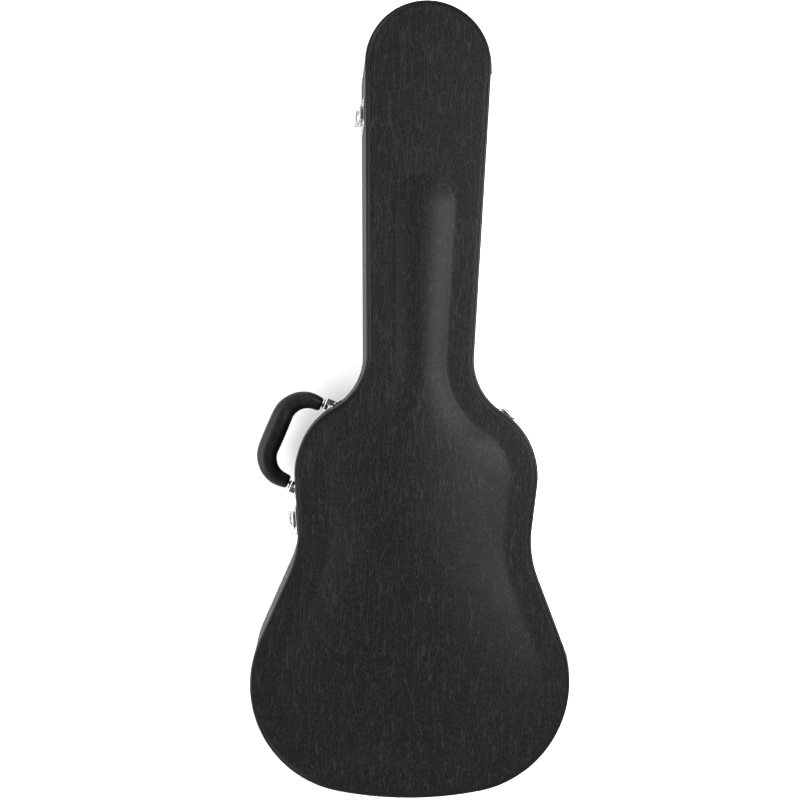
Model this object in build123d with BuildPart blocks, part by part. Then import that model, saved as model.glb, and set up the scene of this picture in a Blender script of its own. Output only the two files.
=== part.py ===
from build123d import *
import math
import os

# Hard-shell case for a dreadnought acoustic guitar, lying on its flat back with the lid up.
# Millimetres. +X points to the hinge side, +Y to the head end, +Z up out of the lid.
# The origin is the middle of the flat back, on the surface that the case lies on.

# ---- Outline of the case, seen from above (heights along Y are measured from the tail end)
LENGTH = 1110.0
LOWER_BOUT_WIDTH = 447.0
LOWER_BOUT_FROM_TAIL = 160.0
TAIL_RADIUS = 520.0
UPPER_BOUT_WIDTH = 340.0
UPPER_BOUT_FROM_TAIL = 450.0
UPPER_BOUT_RADIUS = 107.0
WAIST_INSET = 7.0          # how far the waist lies inside the upper bout, on each side
WAIST_FROM_TAIL = 366.0
WAIST_RADIUS = 146.0
SHOULDER_RADIUS = 85.0
NECK_WIDTH = 149.0
NECK_FROM_TAIL = 600.0
HEAD_RADIUS = 88.0

# ---- Shells
WALL = 5.0                 # plywood wall with its vinyl skin
PANEL = 5.0                # back and lid panels
BASE_DEPTH = 96.0          # floor to parting plane
LID_DEPTH = 42.0           # parting plane to the flat border of the lid
PARTING_GAP = 0.4
BINDING_WIDTH = 4.5        # rolled binding over both outer corners
BINDING_FILLET = 3.5
BINDING_RISE = 0.5         # the back panel stands this far proud of its binding
BORDER = 40.0              # flat border between the outline and the foot of the arch
BODY_ARCH = 18.0
NECK_ARCH = 9.0
TAIL_ARCH = 9.0
ARCH_CROWN_FROM_TAIL = 360.0
ARCH_NECK_FROM_TAIL = 610.0
ARCH_HEAD_END_FROM_TAIL = 868.0
ARCH_TAIL_HOLD = 80.0      # within this of the foot line the tail end of the arch rounds off

# ---- Mouth lip, linings and pads
LIP_THICKNESS = 2.2
LIP_BELOW = 20.0
LIP_ABOVE = 7.0
LIP_CLEARANCE = 1.2
PAD_GAP = 0.3
FLOOR_PAD = 8.0
SIDE_PAD = 11.0
SIDE_PAD_DROP = 3.0        # the side pad stops this far below the parting plane
LID_LINING = 8.0
LID_SIDE_PAD = 8.0
LID_PAD_OVER_LIP = 2.5
STRIP_GAP = 0.3            # between the ends of the padding strips
STRIP_SAG = 3.0            # how far a strip's inner face may bow

# ---- Fittings inside the base
POCKET_FRONT_FROM_TAIL = 606.0
POCKET_WALL = 6.0
POCKET_LENGTH = 68.0
POCKET_HEIGHT = 56.0
POCKET_LID_THICKNESS = 5.0
POCKET_LID_GAP = 0.6
POCKET_PIN_RADIUS = 1.5
POCKET_KNUCKLE_RADIUS = 3.2
POCKET_KNUCKLE_LENGTH = 16.0
POCKET_LUG_LENGTH = 12.0
POCKET_HINGE_SETBACK = 3.6   # pin axis to the face of the pocket's rear wall
TAB_WIDTH = 22.0
TAB_LENGTH = 26.0
TAB_THICKNESS = 1.6
CRADLE_FROM_TAIL = 800.0
CRADLE_LENGTH = 38.0
CRADLE_HEIGHT = 98.0
NECK_NOTCH_WIDTH = 62.0
NECK_NOTCH_BOTTOM = 82.0
NECK_NOTCH_FILLET = 12.0
HEAD_PAD_FROM_TAIL = 925.0
HEAD_PAD_LENGTH = 120.0
HEAD_PAD_HEIGHT = 46.0

# ---- Common hardware sizes
SHEET = 1.6                # plated sheet steel
RUNNING_CLEARANCE = 0.05   # radial, between a pin and what turns on it
SIDE_CLEARANCE = 0.3       # between pieces that pass each other
SEAT_GAP = 0.02            # between a fitting and the wall that it is riveted to
SADDLE_DEPTH = 4.0         # fittings start this deep and are cut back to the wall's curve
RIVET_HEAD_RADIUS = 2.6
RIVET_HEAD_HEIGHT = 1.3
RIVET_SHANK_RADIUS = 1.5

# ---- Lid hinges
HINGE_OFFSET = 5.0         # pin axis to the wall
HINGE_WIDTH = 26.0
HINGE_LEAF_HEIGHT = 22.0
HINGE_LEAF_EDGE = 1.2      # leaf edge to the parting plane
HINGE_KNUCKLE_RADIUS = 3.2
HINGE_PIN_RADIUS = 1.5
HINGE_PIN_HEAD_RADIUS = 2.4
HINGE_PIN_HEAD = 1.2
HINGE_MID_KNUCKLE = 11.0
HINGE_RIVET_SPACING = 15.0
HINGE_RIVET_HEIGHT = 14.0

# ---- Draw latches
LATCH_PLATE_WIDTH = 38.0
LATCH_PLATE_TOP = 3.0      # below the parting plane
LATCH_PLATE_HEIGHT = 43.0
LATCH_CORNER = 4.0
LATCH_PIVOT_OUT = 5.6
LATCH_PIVOT_DROP = 12.0
LATCH_PIN_RADIUS = 1.2
EAR_RADIUS = 3.2
EAR_INNER = 6.2            # half the distance between the ears
LEVER_LENGTH = 30.0
LEVER_RADIUS = 3.0
LEVER_WEB_OUT = 3.6        # pivot axis to the inner face of the lever's web
LEVER_WEB_START = 4.5
LEVER_TIP_REACH = 3.4
LEVER_TIP_WIDTH = 16.0
CRANK = 8.0                # lever pivot to hasp pivot
OVER_CENTRE = 5.0          # degrees, the hasp pivot lies inboard of the dead centre
HASP_LEG_WIDTH = 2.0
HASP_THICKNESS = 1.6
HASP_BAR_HEIGHT = 4.5
HASP_END_RADIUS = 2.4
STRIKE_HEIGHT = 18.0
STRIKE_PLATE_FOOT = 3.0    # above the parting plane
STRIKE_LEDGE_TOP = 8.7
STRIKE_LEDGE_REACH = 7.0
STRIKE_LEDGE_RISE = 0.3    # the ledge's outer edge is higher than its root
STRIKE_LEDGE_THICKNESS = 2.0
STRIKE_CLEARANCE = 0.3
RIVET_IN = 4.0             # rivet centre to the side edge of a latch plate
RIVET_DOWN = 5.0           # rivet centre to the top or bottom edge of a latch plate

# Where the latches sit. The neck latch is placed along the neck, the others by the direction
# from the middle of the arc that carries them, in degrees from the nearer side (+ towards head).
NECK_LATCH_FROM_TAIL = 958.0
WAIST_LATCH_FROM_TAIL = 381.0
LEFT_TAIL_LATCH_ANGLE = -46.0
RIGHT_TAIL_LATCH_ANGLE = -52.0
SHOULDER_LATCH_ANGLE = 52.0

# ---- Carrying handle
HANDLE_ANGLE = 21.5        # direction from the middle of the upper bout, towards the head
HANDLE_HEIGHT = 54.0
HANDLE_HALF_SPAN = 61.0
HANDLE_REACH = 41.0        # wall to the middle of the grip
HANDLE_SHOULDER = 24.0
HANDLE_TOP_HALF = HANDLE_HALF_SPAN - 25.0
HANDLE_BEND = 34.0
GRIP_SECTIONS = 13
GRIP_WIDTH = 31.0          # at its middle
GRIP_HEIGHT = 25.0
GRIP_END_WIDTH = 19.0
GRIP_END_HEIGHT = 17.0
GRIP_FULLNESS = 0.8        # less than 1 keeps the grip full nearer to its ends
HANDLE_PIVOT_IN = 11.0     # pivot axis behind the wall's tangent plane
HANDLE_END_GAP = 5.5       # pivot axis to the end of the grip
HANDLE_KNUCKLE_RADIUS = 3.8
HANDLE_KNUCKLE_LENGTH = 8.0
HANDLE_PIN_RADIUS = 1.8
HANDLE_NECK_WIDTH = 5.0
POST_HALF = 3.2            # half the height of a bracket's post
POST_DEPTH = 30.0          # posts start this deep and are cut back to their plates
HANDLE_PLATE_LIFT = 1.0     # lets the flat plates bridge a hollow in the wall
HANDLE_PLATE_WIDTH = 18.0
HANDLE_PLATE_HEIGHT = 34.0
HANDLE_RIVET_HEIGHT = 12.0

# ---- Values that follow from the sizes above
HALF = LENGTH / 2
# The lower bout's round sides touch the flatter tail arc from inside.
SIDE_RADIUS = (
    LOWER_BOUT_FROM_TAIL * (2 * TAIL_RADIUS - LOWER_BOUT_FROM_TAIL) - LOWER_BOUT_WIDTH**2 / 4
) / (2 * TAIL_RADIUS - LOWER_BOUT_WIDTH)
PARTING = BASE_DEPTH
LID_TOP = BASE_DEPTH + LID_DEPTH
LIP_INSET = WALL + LIP_CLEARANCE
PAD_INSET = LIP_INSET + LIP_THICKNESS + PAD_GAP
ROOM_INSET = PAD_INSET + SIDE_PAD + PAD_GAP
FLOOR_TOP = PANEL + FLOOR_PAD
TALL = 4 * (BASE_DEPTH + LID_DEPTH)
WIDE = 2 * LOWER_BOUT_WIDTH
EAR_OUTER = EAR_INNER + SHEET
CHEEK_INNER = EAR_OUTER + SIDE_CLEARANCE
CHEEK_OUTER = CHEEK_INNER + SHEET
LEG_INNER = CHEEK_OUTER + SIDE_CLEARANCE
LEG_OUTER = LEG_INNER + HASP_LEG_WIDTH
HASP_PIVOT_OUT = LATCH_PIVOT_OUT - CRANK * math.sin(math.radians(OVER_CENTRE))
HASP_PIVOT_DROP = LATCH_PIVOT_DROP + CRANK * math.cos(math.radians(OVER_CENTRE))
HASP_BAR_FOOT = STRIKE_LEDGE_TOP + STRIKE_CLEARANCE


def direction(angle):
    """Unit vector in the XY plane, from degrees."""
    return Vector(math.cos(math.radians(angle)), math.sin(math.radians(angle)))


def bearing(vector):
    """Degrees of a vector in the XY plane."""
    return math.degrees(math.atan2(vector.Y, vector.X))


def lean(opposite, hypotenuse):
    """Arcsine in degrees."""
    return math.degrees(math.asin(opposite / hypotenuse))


# ---- The outline: circles joined by tangents, right half, from the tail round to the head
tail_centre = Vector(0, TAIL_RADIUS - HALF)
side_centre = Vector(LOWER_BOUT_WIDTH / 2 - SIDE_RADIUS, LOWER_BOUT_FROM_TAIL - HALF)
upper_centre = Vector(UPPER_BOUT_WIDTH / 2 - UPPER_BOUT_RADIUS, UPPER_BOUT_FROM_TAIL - HALF)
waist_centre = Vector(UPPER_BOUT_WIDTH / 2 - WAIST_INSET + WAIST_RADIUS, WAIST_FROM_TAIL - HALF)
head_centre = Vector(0, HALF - HEAD_RADIUS)

# Tangent lines, as the heading of travel towards the head.
low_line = bearing(waist_centre - side_centre) + lean(
    SIDE_RADIUS + WAIST_RADIUS, (waist_centre - side_centre).length
)
high_line = bearing(upper_centre - waist_centre) - lean(
    WAIST_RADIUS + UPPER_BOUT_RADIUS, (upper_centre - waist_centre).length
)
neck_point = Vector(NECK_WIDTH / 2, NECK_FROM_TAIL - HALF)
neck_line = bearing(head_centre - neck_point) - lean(HEAD_RADIUS, (head_centre - neck_point).length)

# The shoulder circle touches the neck line and the upper bout from outside.
rail = neck_point + direction(neck_line - 90) * SHOULDER_RADIUS
reach = rail - upper_centre
forward = reach.dot(direction(neck_line))
touch = SHOULDER_RADIUS + UPPER_BOUT_RADIUS
shoulder_centre = rail + direction(neck_line) * (
    math.sqrt(forward**2 - reach.dot(reach) + touch**2) - forward
)

# Each arc: centre, radius, +1 where it bulges outwards or -1 where it is hollow, two bearings.
ARCS = [
    (tail_centre, TAIL_RADIUS, 1, -90.0, bearing(side_centre - tail_centre)),
    (side_centre, SIDE_RADIUS, 1, bearing(side_centre - tail_centre), low_line - 90),
    (waist_centre, WAIST_RADIUS, -1, low_line + 90, high_line + 90),
    (upper_centre, UPPER_BOUT_RADIUS, 1, high_line - 90, bearing(shoulder_centre - upper_centre)),
    (
        shoulder_centre,
        SHOULDER_RADIUS,
        -1,
        bearing(upper_centre - shoulder_centre) + 360,
        neck_line + 90,
    ),
    (head_centre, HEAD_RADIUS, 1, neck_line - 90, 90.0),
]


def case_face(inset):
    """The case's outline as a face, moved inwards by inset."""
    with BuildSketch() as outline:
        with BuildLine():
            last = None
            for centre, radius, bulge, start, end in ARCS:
                size = radius - bulge * inset
                first = centre + direction(start) * size
                middle = centre + direction((start + end) / 2) * size
                final = centre + direction(end) * size
                if last is not None and (first - last).length > 0.01:
                    Line(last, first)
                ThreePointArc(first, middle, final)
                last = final
            mirror(about=Plane.YZ)
        make_face()
    return outline.sketch


def lining_strips(inset, thickness, bottom, top):
    """Padding strips end to end along the wall, each short enough to be nearly flat inside."""
    strips = []
    last = None
    deep = inset + thickness
    for centre, radius, bulge, start, end in ARCS:
        if last is not None:
            old_centre, old_radius, old_bulge, old_end = last
            run = [
                old_centre + direction(old_end) * (old_radius - old_bulge * inset),
                centre + direction(start) * (radius - bulge * inset),
                centre + direction(start) * (radius - bulge * deep),
                old_centre + direction(old_end) * (old_radius - old_bulge * deep),
            ]
            if (run[1] - run[0]).length > STRIP_GAP * 3:
                ahead = (run[1] - run[0]).normalized() * STRIP_GAP
                strips.append([run[0] + ahead, run[1], run[2], run[3] + ahead])
        inner = radius - bulge * deep
        longest = math.sqrt(8 * inner * STRIP_SAG) if bulge > 0 else inner
        count = max(1, math.ceil(math.radians(abs(end - start)) * inner / longest))
        step = (end - start) / count
        for number in range(count):
            low = start + step * number
            gap = math.copysign(math.degrees(STRIP_GAP / radius), step)
            strips.append((centre, radius, bulge, low + gap, low + step - (gap if count == 1 else 0)))
        last = (centre, radius, bulge, end)
    solids = []
    for strip in strips:
        with BuildSketch() as plan:
            with BuildLine():
                if isinstance(strip, list):
                    Polyline(*strip, close=True)
                else:
                    centre, radius, bulge, low, high = strip
                    ends = []
                    for size in (radius - bulge * inset, radius - bulge * deep):
                        points = [centre + direction(a) * size for a in (low, (low + high) / 2, high)]
                        ThreePointArc(*points)
                        ends.append(points)
                    Line(ends[0][0], ends[1][0])
                    Line(ends[0][2], ends[1][2])
            make_face()
        right = extrude(Plane.XY.offset(bottom) * plan.sketch, amount=top - bottom)
        solids += [right.solid(), mirror(right, about=Plane.YZ).solid()]
    return solids


def half_width(height, inset):
    """Half the width of the outline, moved inwards by inset, at a height above the tail end."""
    level = height - HALF
    corners = [Vector(0, inset - HALF)]
    for centre, radius, bulge, start, end in ARCS:
        size = radius - bulge * inset
        first = centre + direction(start) * size
        final = centre + direction(end) * size
        if first.Y <= level <= final.Y:
            return centre.X + bulge * math.sqrt(size**2 - (level - centre.Y) ** 2)
        if corners[-1].Y <= level <= first.Y:
            share = (level - corners[-1].Y) / (first.Y - corners[-1].Y)
            return corners[-1].X + share * (first.X - corners[-1].X)
        corners.append(final)
    return 0.0


def save(part, name):
    """Label one finished piece and write its STEP file."""
    part.label = name
    export_step(part, f"parts/{name}.step")


def wall_frame(point, angle, level):
    """Frame on the wall: X along the wall, Y out of it, Z up."""
    outward = direction(angle)
    return Plane(
        origin=(point.X, point.Y, level),
        x_dir=(outward.Y, -outward.X, 0),
        z_dir=(0, 0, 1),
    )


def column(frame, left, right, inner, outer, bottom, top):
    """A block in a wall frame, from its limits along, out of and up the wall."""
    block = Box(right - left, outer - inner, top - bottom, align=Align.MIN, mode=Mode.PRIVATE)
    return block.moved(frame.location * Location((left, inner, bottom)))


def rod(frame, radius, start, end, out, up):
    """A round rod along the wall in a wall frame, with its axis at (out, up)."""
    bar = Cylinder(radius, end - start, align=(Align.CENTER, Align.CENTER, Align.MIN), mode=Mode.PRIVATE)
    return bar.moved(frame.location * Location((start, out, up), (0, 90, 0)))


def rivet(frame, along, up, seat):
    """A round-headed rivet through a plate whose outer face is at seat."""
    with BuildPart(mode=Mode.PRIVATE) as one:
        Cylinder(RIVET_HEAD_RADIUS, RIVET_HEAD_HEIGHT, align=(Align.CENTER, Align.CENTER, Align.MIN))
        fillet(one.edges().sort_by(Axis.Z)[-1], RIVET_HEAD_HEIGHT * 0.75)
        Cylinder(RIVET_SHANK_RADIUS, SHEET, align=(Align.CENTER, Align.CENTER, Align.MAX))
    return one.part.moved(frame.location * Location((along, seat, up), (-90, 0, 0)))


def rivet_hole(frame, along, up, seat):
    """The hole that a rivet's shank fills."""
    hole = Cylinder(RIVET_SHANK_RADIUS, SHEET * 2, mode=Mode.PRIVATE)
    return hole.moved(frame.location * Location((along, seat, up), (-90, 0, 0)))


def full_case():
    """Everything inside the outer walls, to fit the fittings to the walls' curve."""
    return extrude(case_face(-SEAT_GAP), amount=TALL, both=True)


os.makedirs("parts", exist_ok=True)
walls = full_case()

# ================================================================ shells

with BuildPart() as back_panel:
    with BuildSketch():
        add(case_face(BINDING_WIDTH))
    extrude(amount=PANEL)
save(back_panel.part, "back_panel")

with BuildPart() as base_edge_binding:
    with BuildSketch(Plane.XY.offset(BINDING_RISE)):
        add(case_face(0))
        add(case_face(BINDING_WIDTH), mode=Mode.SUBTRACT)
    extrude(amount=PANEL - BINDING_RISE)
    low_face = base_edge_binding.faces().sort_by(Axis.Z)[0]
    fillet(low_face.outer_wire().edges(), BINDING_FILLET)
save(base_edge_binding.part, "base_edge_binding")

with BuildPart() as base_rim:
    with BuildSketch(Plane.XY.offset(PANEL)):
        add(case_face(0))
        add(case_face(WALL), mode=Mode.SUBTRACT)
    extrude(amount=PARTING - PARTING_GAP / 2 - PANEL)
save(base_rim.part, "base_rim")

with BuildPart() as mouth_lip:
    with BuildSketch(Plane.XY.offset(PARTING - LIP_BELOW)):
        add(case_face(WALL))
        add(case_face(LIP_INSET + LIP_THICKNESS), mode=Mode.SUBTRACT)
    extrude(amount=LIP_BELOW - PARTING_GAP)
    with BuildSketch(Plane.XY.offset(PARTING - PARTING_GAP)):
        add(case_face(LIP_INSET))
        add(case_face(LIP_INSET + LIP_THICKNESS), mode=Mode.SUBTRACT)
    extrude(amount=LIP_ABOVE + PARTING_GAP)
save(mouth_lip.part, "mouth_lip")

with BuildPart() as lid_rim:
    with BuildSketch(Plane.XY.offset(PARTING + PARTING_GAP / 2)):
        add(case_face(0))
        add(case_face(WALL), mode=Mode.SUBTRACT)
    extrude(amount=LID_DEPTH - PANEL - PARTING_GAP / 2)
save(lid_rim.part, "lid_rim")

with BuildPart() as lid_edge_binding:
    with BuildSketch(Plane.XY.offset(LID_TOP - PANEL)):
        add(case_face(0))
        add(case_face(BINDING_WIDTH), mode=Mode.SUBTRACT)
    extrude(amount=PANEL)
    high_face = lid_edge_binding.faces().sort_by(Axis.Z)[-1]
    fillet(high_face.outer_wire().edges(), BINDING_FILLET)
save(lid_edge_binding.part, "lid_edge_binding")


# ---- The arched lid: across the case the surface is a parabola over the foot line
def ease(value):
    """Smooth step from 0 to 1."""
    clipped = min(1.0, max(0.0, value))
    return clipped * clipped * (3 - 2 * clipped)


def crown(height):
    """Height of the arch's crown above the flat border, before its two ends round off."""
    if height < ARCH_CROWN_FROM_TAIL:
        share = ease(height / ARCH_CROWN_FROM_TAIL)
        return TAIL_ARCH + (BODY_ARCH - TAIL_ARCH) * share
    share = ease((height - ARCH_CROWN_FROM_TAIL) / (ARCH_NECK_FROM_TAIL - ARCH_CROWN_FROM_TAIL))
    return BODY_ARCH + (NECK_ARCH - BODY_ARCH) * share


def foot(height):
    """Half width of the arch at its foot, and the half width of the parabola there.

    The foot is given squared, because past the two ends it is negative.
    """
    held = BORDER + ARCH_TAIL_HOLD
    if height < held:
        base = half_width(held, BORDER)
        step = 0.5
        if height < BORDER + step:
            slope = half_width(BORDER + step, BORDER) ** 2 / step
            return slope * (height - BORDER), base
        return half_width(height, BORDER) ** 2, base
    base = half_width(height, BORDER)
    centre = ARCH_HEAD_END_FROM_TAIL - half_width(ARCH_HEAD_END_FROM_TAIL, BORDER)
    if height > centre:
        return base**2 - (height - centre) ** 2, base
    return base**2, base


ARCH_ROWS = 110
ARCH_COLUMNS = 9
ARCH_OVERRUN = 1.15        # the surface is made this much wider than its foot, and trimmed
START = BORDER - 4.0
END = ARCH_HEAD_END_FROM_TAIL + 6.0
rows = []
for row in range(ARCH_ROWS):
    height = START + (END - START) * row / (ARCH_ROWS - 1)
    foot_squared, base = foot(height)
    points = []
    for place in range(ARCH_COLUMNS):
        x = base * ARCH_OVERRUN * (2 * place / (ARCH_COLUMNS - 1) - 1)
        rise = crown(height) * (foot_squared - x * x) / base**2
        points.append(Vector(x, height - HALF, LID_TOP + rise))
    rows.append(points)
arch_surface = Face.make_surface_from_array_of_points(rows[::-1], tol=0.05, min_deg=3, max_deg=5)


def arched_slab(inset, drop, thickness):
    """A sheet of even thickness that follows the lid: flat border and arched middle."""
    top = LID_TOP - drop
    below = Vector(0, 0, -1)
    sheet = extrude(Plane.XY.offset(top - thickness) * case_face(inset), amount=thickness)
    outer = extrude(arch_surface.moved(Location((0, 0, -drop))), amount=TALL, dir=below)
    inner = extrude(arch_surface.moved(Location((0, 0, -drop - thickness))), amount=TALL, dir=below)
    over = Box(WIDE, LENGTH, TALL, align=(Align.CENTER, Align.CENTER, Align.MIN))
    swell = outer & over.moved(Location((0, 0, top - thickness / 2)))
    hollow = inner & over.moved(Location((0, 0, top - thickness - 1)))
    return sheet + swell - hollow


panel_sheet = arched_slab(BINDING_WIDTH, 0, PANEL)
lining_sheet = arched_slab(WALL + PAD_GAP, PANEL + PAD_GAP, LID_LINING)

with BuildPart() as lid_panel:
    add(panel_sheet)
save(lid_panel.part, "lid_panel")

with BuildPart() as lid_lining:
    add(lining_sheet)
save(lid_lining.part, "lid_lining")

lid_pad_foot = PARTING + LIP_ABOVE + LID_PAD_OVER_LIP
lid_pad_top = LID_TOP - PANEL - LID_LINING - 2 * PAD_GAP
lid_strips = lining_strips(WALL + PAD_GAP, LID_SIDE_PAD, lid_pad_foot, lid_pad_top)
save(Compound(children=lid_strips), "lid_side_pad")

# ================================================================ linings and fittings inside

with BuildPart() as floor_pad:
    with BuildSketch(Plane.XY.offset(PANEL)):
        add(case_face(WALL + PAD_GAP))
    extrude(amount=FLOOR_PAD)
save(floor_pad.part, "floor_pad")

base_strips = lining_strips(PAD_INSET, SIDE_PAD, FLOOR_TOP + PAD_GAP, PARTING - SIDE_PAD_DROP)
save(Compound(children=base_strips), "base_side_pad")


def room_block(start, length, height):
    """A block that fills the padded room from side to side over a stretch of its length."""
    room = Plane.XY.offset(FLOOR_TOP + PAD_GAP) * case_face(ROOM_INSET)
    filled = extrude(room, amount=height - FLOOR_TOP - PAD_GAP)
    slice_box = Box(WIDE, length, TALL, align=(Align.CENTER, Align.MIN, Align.CENTER))
    return filled & slice_box.moved(Location((0, start - HALF, 0)))


pocket_rear_face = POCKET_FRONT_FROM_TAIL + POCKET_WALL + POCKET_LENGTH
cradle_block = room_block(CRADLE_FROM_TAIL, CRADLE_LENGTH, CRADLE_HEIGHT)
head_block = room_block(HEAD_PAD_FROM_TAIL, HEAD_PAD_LENGTH, HEAD_PAD_HEIGHT)
front_block = room_block(POCKET_FRONT_FROM_TAIL, POCKET_WALL, POCKET_HEIGHT)
rear_block = room_block(pocket_rear_face, POCKET_WALL, POCKET_HEIGHT)

with BuildPart() as neck_cradle:
    add(cradle_block)
    with BuildSketch(Plane.XZ.offset(HALF - CRADLE_FROM_TAIL)) as notch:
        with Locations((0, NECK_NOTCH_BOTTOM)):
            Rectangle(
                NECK_NOTCH_WIDTH,
                2 * CRADLE_HEIGHT,
                align=(Align.CENTER, Align.MIN),
            )
        fillet(notch.vertices().group_by(Axis.Z)[0], NECK_NOTCH_FILLET)
    extrude(amount=CRADLE_LENGTH, both=True, mode=Mode.SUBTRACT)
save(neck_cradle.part, "neck_cradle")

with BuildPart() as headstock_pad:
    add(head_block)
save(headstock_pad.part, "headstock_pad")

pocket_axis_y = pocket_rear_face - POCKET_HINGE_SETBACK - HALF
pocket_axis_z = POCKET_HEIGHT - POCKET_KNUCKLE_RADIUS / 2
pocket_frame = Plane(origin=(0, 0, 0), x_dir=(1, 0, 0), z_dir=(0, 0, 1))
lug_start = POCKET_KNUCKLE_LENGTH / 2 + SIDE_CLEARANCE
lug_end = lug_start + POCKET_LUG_LENGTH

with BuildPart() as pocket_front_wall:
    add(front_block)
save(pocket_front_wall.part, "pocket_front_wall")

with BuildPart() as pocket_rear_wall:
    add(rear_block)
    for side in (-1, 1):
        ends = sorted((side * lug_start, side * lug_end))
        add(rod(pocket_frame, POCKET_KNUCKLE_RADIUS, *ends, pocket_axis_y, pocket_axis_z))
        add(
            column(
                pocket_frame,
                *ends,
                pocket_axis_y,
                pocket_rear_face + POCKET_WALL / 2 - HALF,
                pocket_axis_z - POCKET_KNUCKLE_RADIUS,
                pocket_axis_z,
            )
        )
    bore = rod(pocket_frame, POCKET_PIN_RADIUS, -lug_end, lug_end, pocket_axis_y, pocket_axis_z)
    add(bore, mode=Mode.SUBTRACT)
save(pocket_rear_wall.part, "pocket_rear_wall")

with BuildPart() as pocket_hinge_pin:
    add(rod(pocket_frame, POCKET_PIN_RADIUS, -lug_end, lug_end, pocket_axis_y, pocket_axis_z))
save(pocket_hinge_pin.part, "pocket_hinge_pin")

lid_front = POCKET_FRONT_FROM_TAIL + POCKET_WALL + POCKET_LID_GAP
lid_rear = pocket_axis_y + HALF - POCKET_KNUCKLE_RADIUS - POCKET_LID_GAP
half_knuckle = POCKET_KNUCKLE_LENGTH / 2
cover_face = Plane.XY.offset(pocket_axis_z - POCKET_LID_THICKNESS / 2) * case_face(
    ROOM_INSET + POCKET_LID_GAP
)
cover_box = Box(WIDE, lid_rear - lid_front, TALL, align=(Align.CENTER, Align.MIN, Align.CENTER))
cover = extrude(cover_face, amount=POCKET_LID_THICKNESS) & cover_box.moved(
    Location((0, lid_front - HALF, 0))
)

with BuildPart() as pocket_lid:
    add(cover)
    add(
        rod(
            pocket_frame,
            POCKET_KNUCKLE_RADIUS,
            -half_knuckle,
            half_knuckle,
            pocket_axis_y,
            pocket_axis_z,
        )
    )
    add(
        column(
            pocket_frame,
            -half_knuckle,
            half_knuckle,
            lid_rear - HALF - 1,
            pocket_axis_y,
            pocket_axis_z - POCKET_LID_THICKNESS / 2,
            pocket_axis_z + POCKET_LID_THICKNESS / 2,
        )
    )
    lid_bore = rod(
        pocket_frame,
        POCKET_PIN_RADIUS + RUNNING_CLEARANCE,
        -half_knuckle,
        half_knuckle,
        pocket_axis_y,
        pocket_axis_z,
    )
    add(lid_bore, mode=Mode.SUBTRACT)
save(pocket_lid.part, "pocket_lid")

with BuildPart() as pocket_pull_tab:
    tab_floor = pocket_axis_z + POCKET_LID_THICKNESS / 2
    with BuildSketch(Plane.XY.offset(tab_floor)) as tab:
        with Locations((0, lid_front - HALF + 1)):
            Rectangle(TAB_WIDTH, TAB_LENGTH, align=(Align.CENTER, Align.MIN))
        fillet(tab.vertices(), TAB_WIDTH / 4)
    extrude(amount=TAB_THICKNESS)
save(pocket_pull_tab.part, "pocket_pull_tab")

# ================================================================ lid hinges

# The pins lie on the line that touches the head and the lower bout, moved out of the wall.
between = head_centre - side_centre
hinge_line = bearing(between) - 90 + lean(SIDE_RADIUS - HEAD_RADIUS, between.length)
hinge_points = {
    "tail": side_centre + direction(hinge_line) * SIDE_RADIUS,
    "head": head_centre + direction(hinge_line) * HEAD_RADIUS,
}


def hinge_leaf(frame, side, spans):
    """One leaf: a plate on the wall, above (+1) or below (-1) the parting plane, and its knuckles."""
    near = side * HINGE_LEAF_EDGE
    far = side * (HINGE_LEAF_EDGE + HINGE_LEAF_HEIGHT)
    half = HINGE_WIDTH / 2
    leaf = column(frame, -half, half, -SADDLE_DEPTH, SHEET, min(near, far), max(near, far))
    up = side * HINGE_RIVET_HEIGHT
    for along in (-HINGE_RIVET_SPACING / 2, HINGE_RIVET_SPACING / 2):
        leaf -= rivet_hole(frame, along, up, SHEET)
    tangent = side * HINGE_KNUCKLE_RADIUS
    root = tangent - side * SHEET
    for start, end in spans:
        leaf += column(frame, start, end, -SADDLE_DEPTH, HINGE_OFFSET, min(root, tangent), max(root, tangent))
        leaf += rod(frame, HINGE_KNUCKLE_RADIUS, start, end, HINGE_OFFSET, 0)
    clearance = RUNNING_CLEARANCE if side > 0 else 0.0
    leaf -= rod(frame, HINGE_PIN_RADIUS + clearance, -half, half, HINGE_OFFSET, 0)
    return leaf - walls


base_hinge_rivets = []
lid_hinge_rivets = []
for place, point in hinge_points.items():
    frame = wall_frame(point, hinge_line, PARTING)
    middle_end = HINGE_MID_KNUCKLE / 2
    outer_start = middle_end + SIDE_CLEARANCE
    half = HINGE_WIDTH / 2

    with BuildPart() as hinge_base_leaf:
        add(hinge_leaf(frame, -1, [(-half, -outer_start), (outer_start, half)]))
    save(hinge_base_leaf.part, f"hinge_base_leaf_{place}")

    with BuildPart() as hinge_lid_leaf:
        add(hinge_leaf(frame, 1, [(-middle_end, middle_end)]))
    save(hinge_lid_leaf.part, f"hinge_lid_leaf_{place}")

    with BuildPart() as hinge_pin:
        add(rod(frame, HINGE_PIN_RADIUS, -half, half, HINGE_OFFSET, 0))
        add(rod(frame, HINGE_PIN_HEAD_RADIUS, half, half + HINGE_PIN_HEAD, HINGE_OFFSET, 0))
        add(rod(frame, HINGE_PIN_HEAD_RADIUS, -half - HINGE_PIN_HEAD, -half, HINGE_OFFSET, 0))
    save(hinge_pin.part, f"hinge_pin_{place}")

    for along in (-HINGE_RIVET_SPACING / 2, HINGE_RIVET_SPACING / 2):
        base_hinge_rivets.append(rivet(frame, along, -HINGE_RIVET_HEIGHT, SHEET))
        lid_hinge_rivets.append(rivet(frame, along, HINGE_RIVET_HEIGHT, SHEET))

# ================================================================ draw latches


def bulge_spot(centre, radius, angle, side):
    """A place on one of the outline's round stretches, on the right (+1) or left (-1) side."""
    point = centre + direction(angle) * radius
    turned = angle if side > 0 else 180 - angle
    return Vector(side * point.X, point.Y), turned


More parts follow.
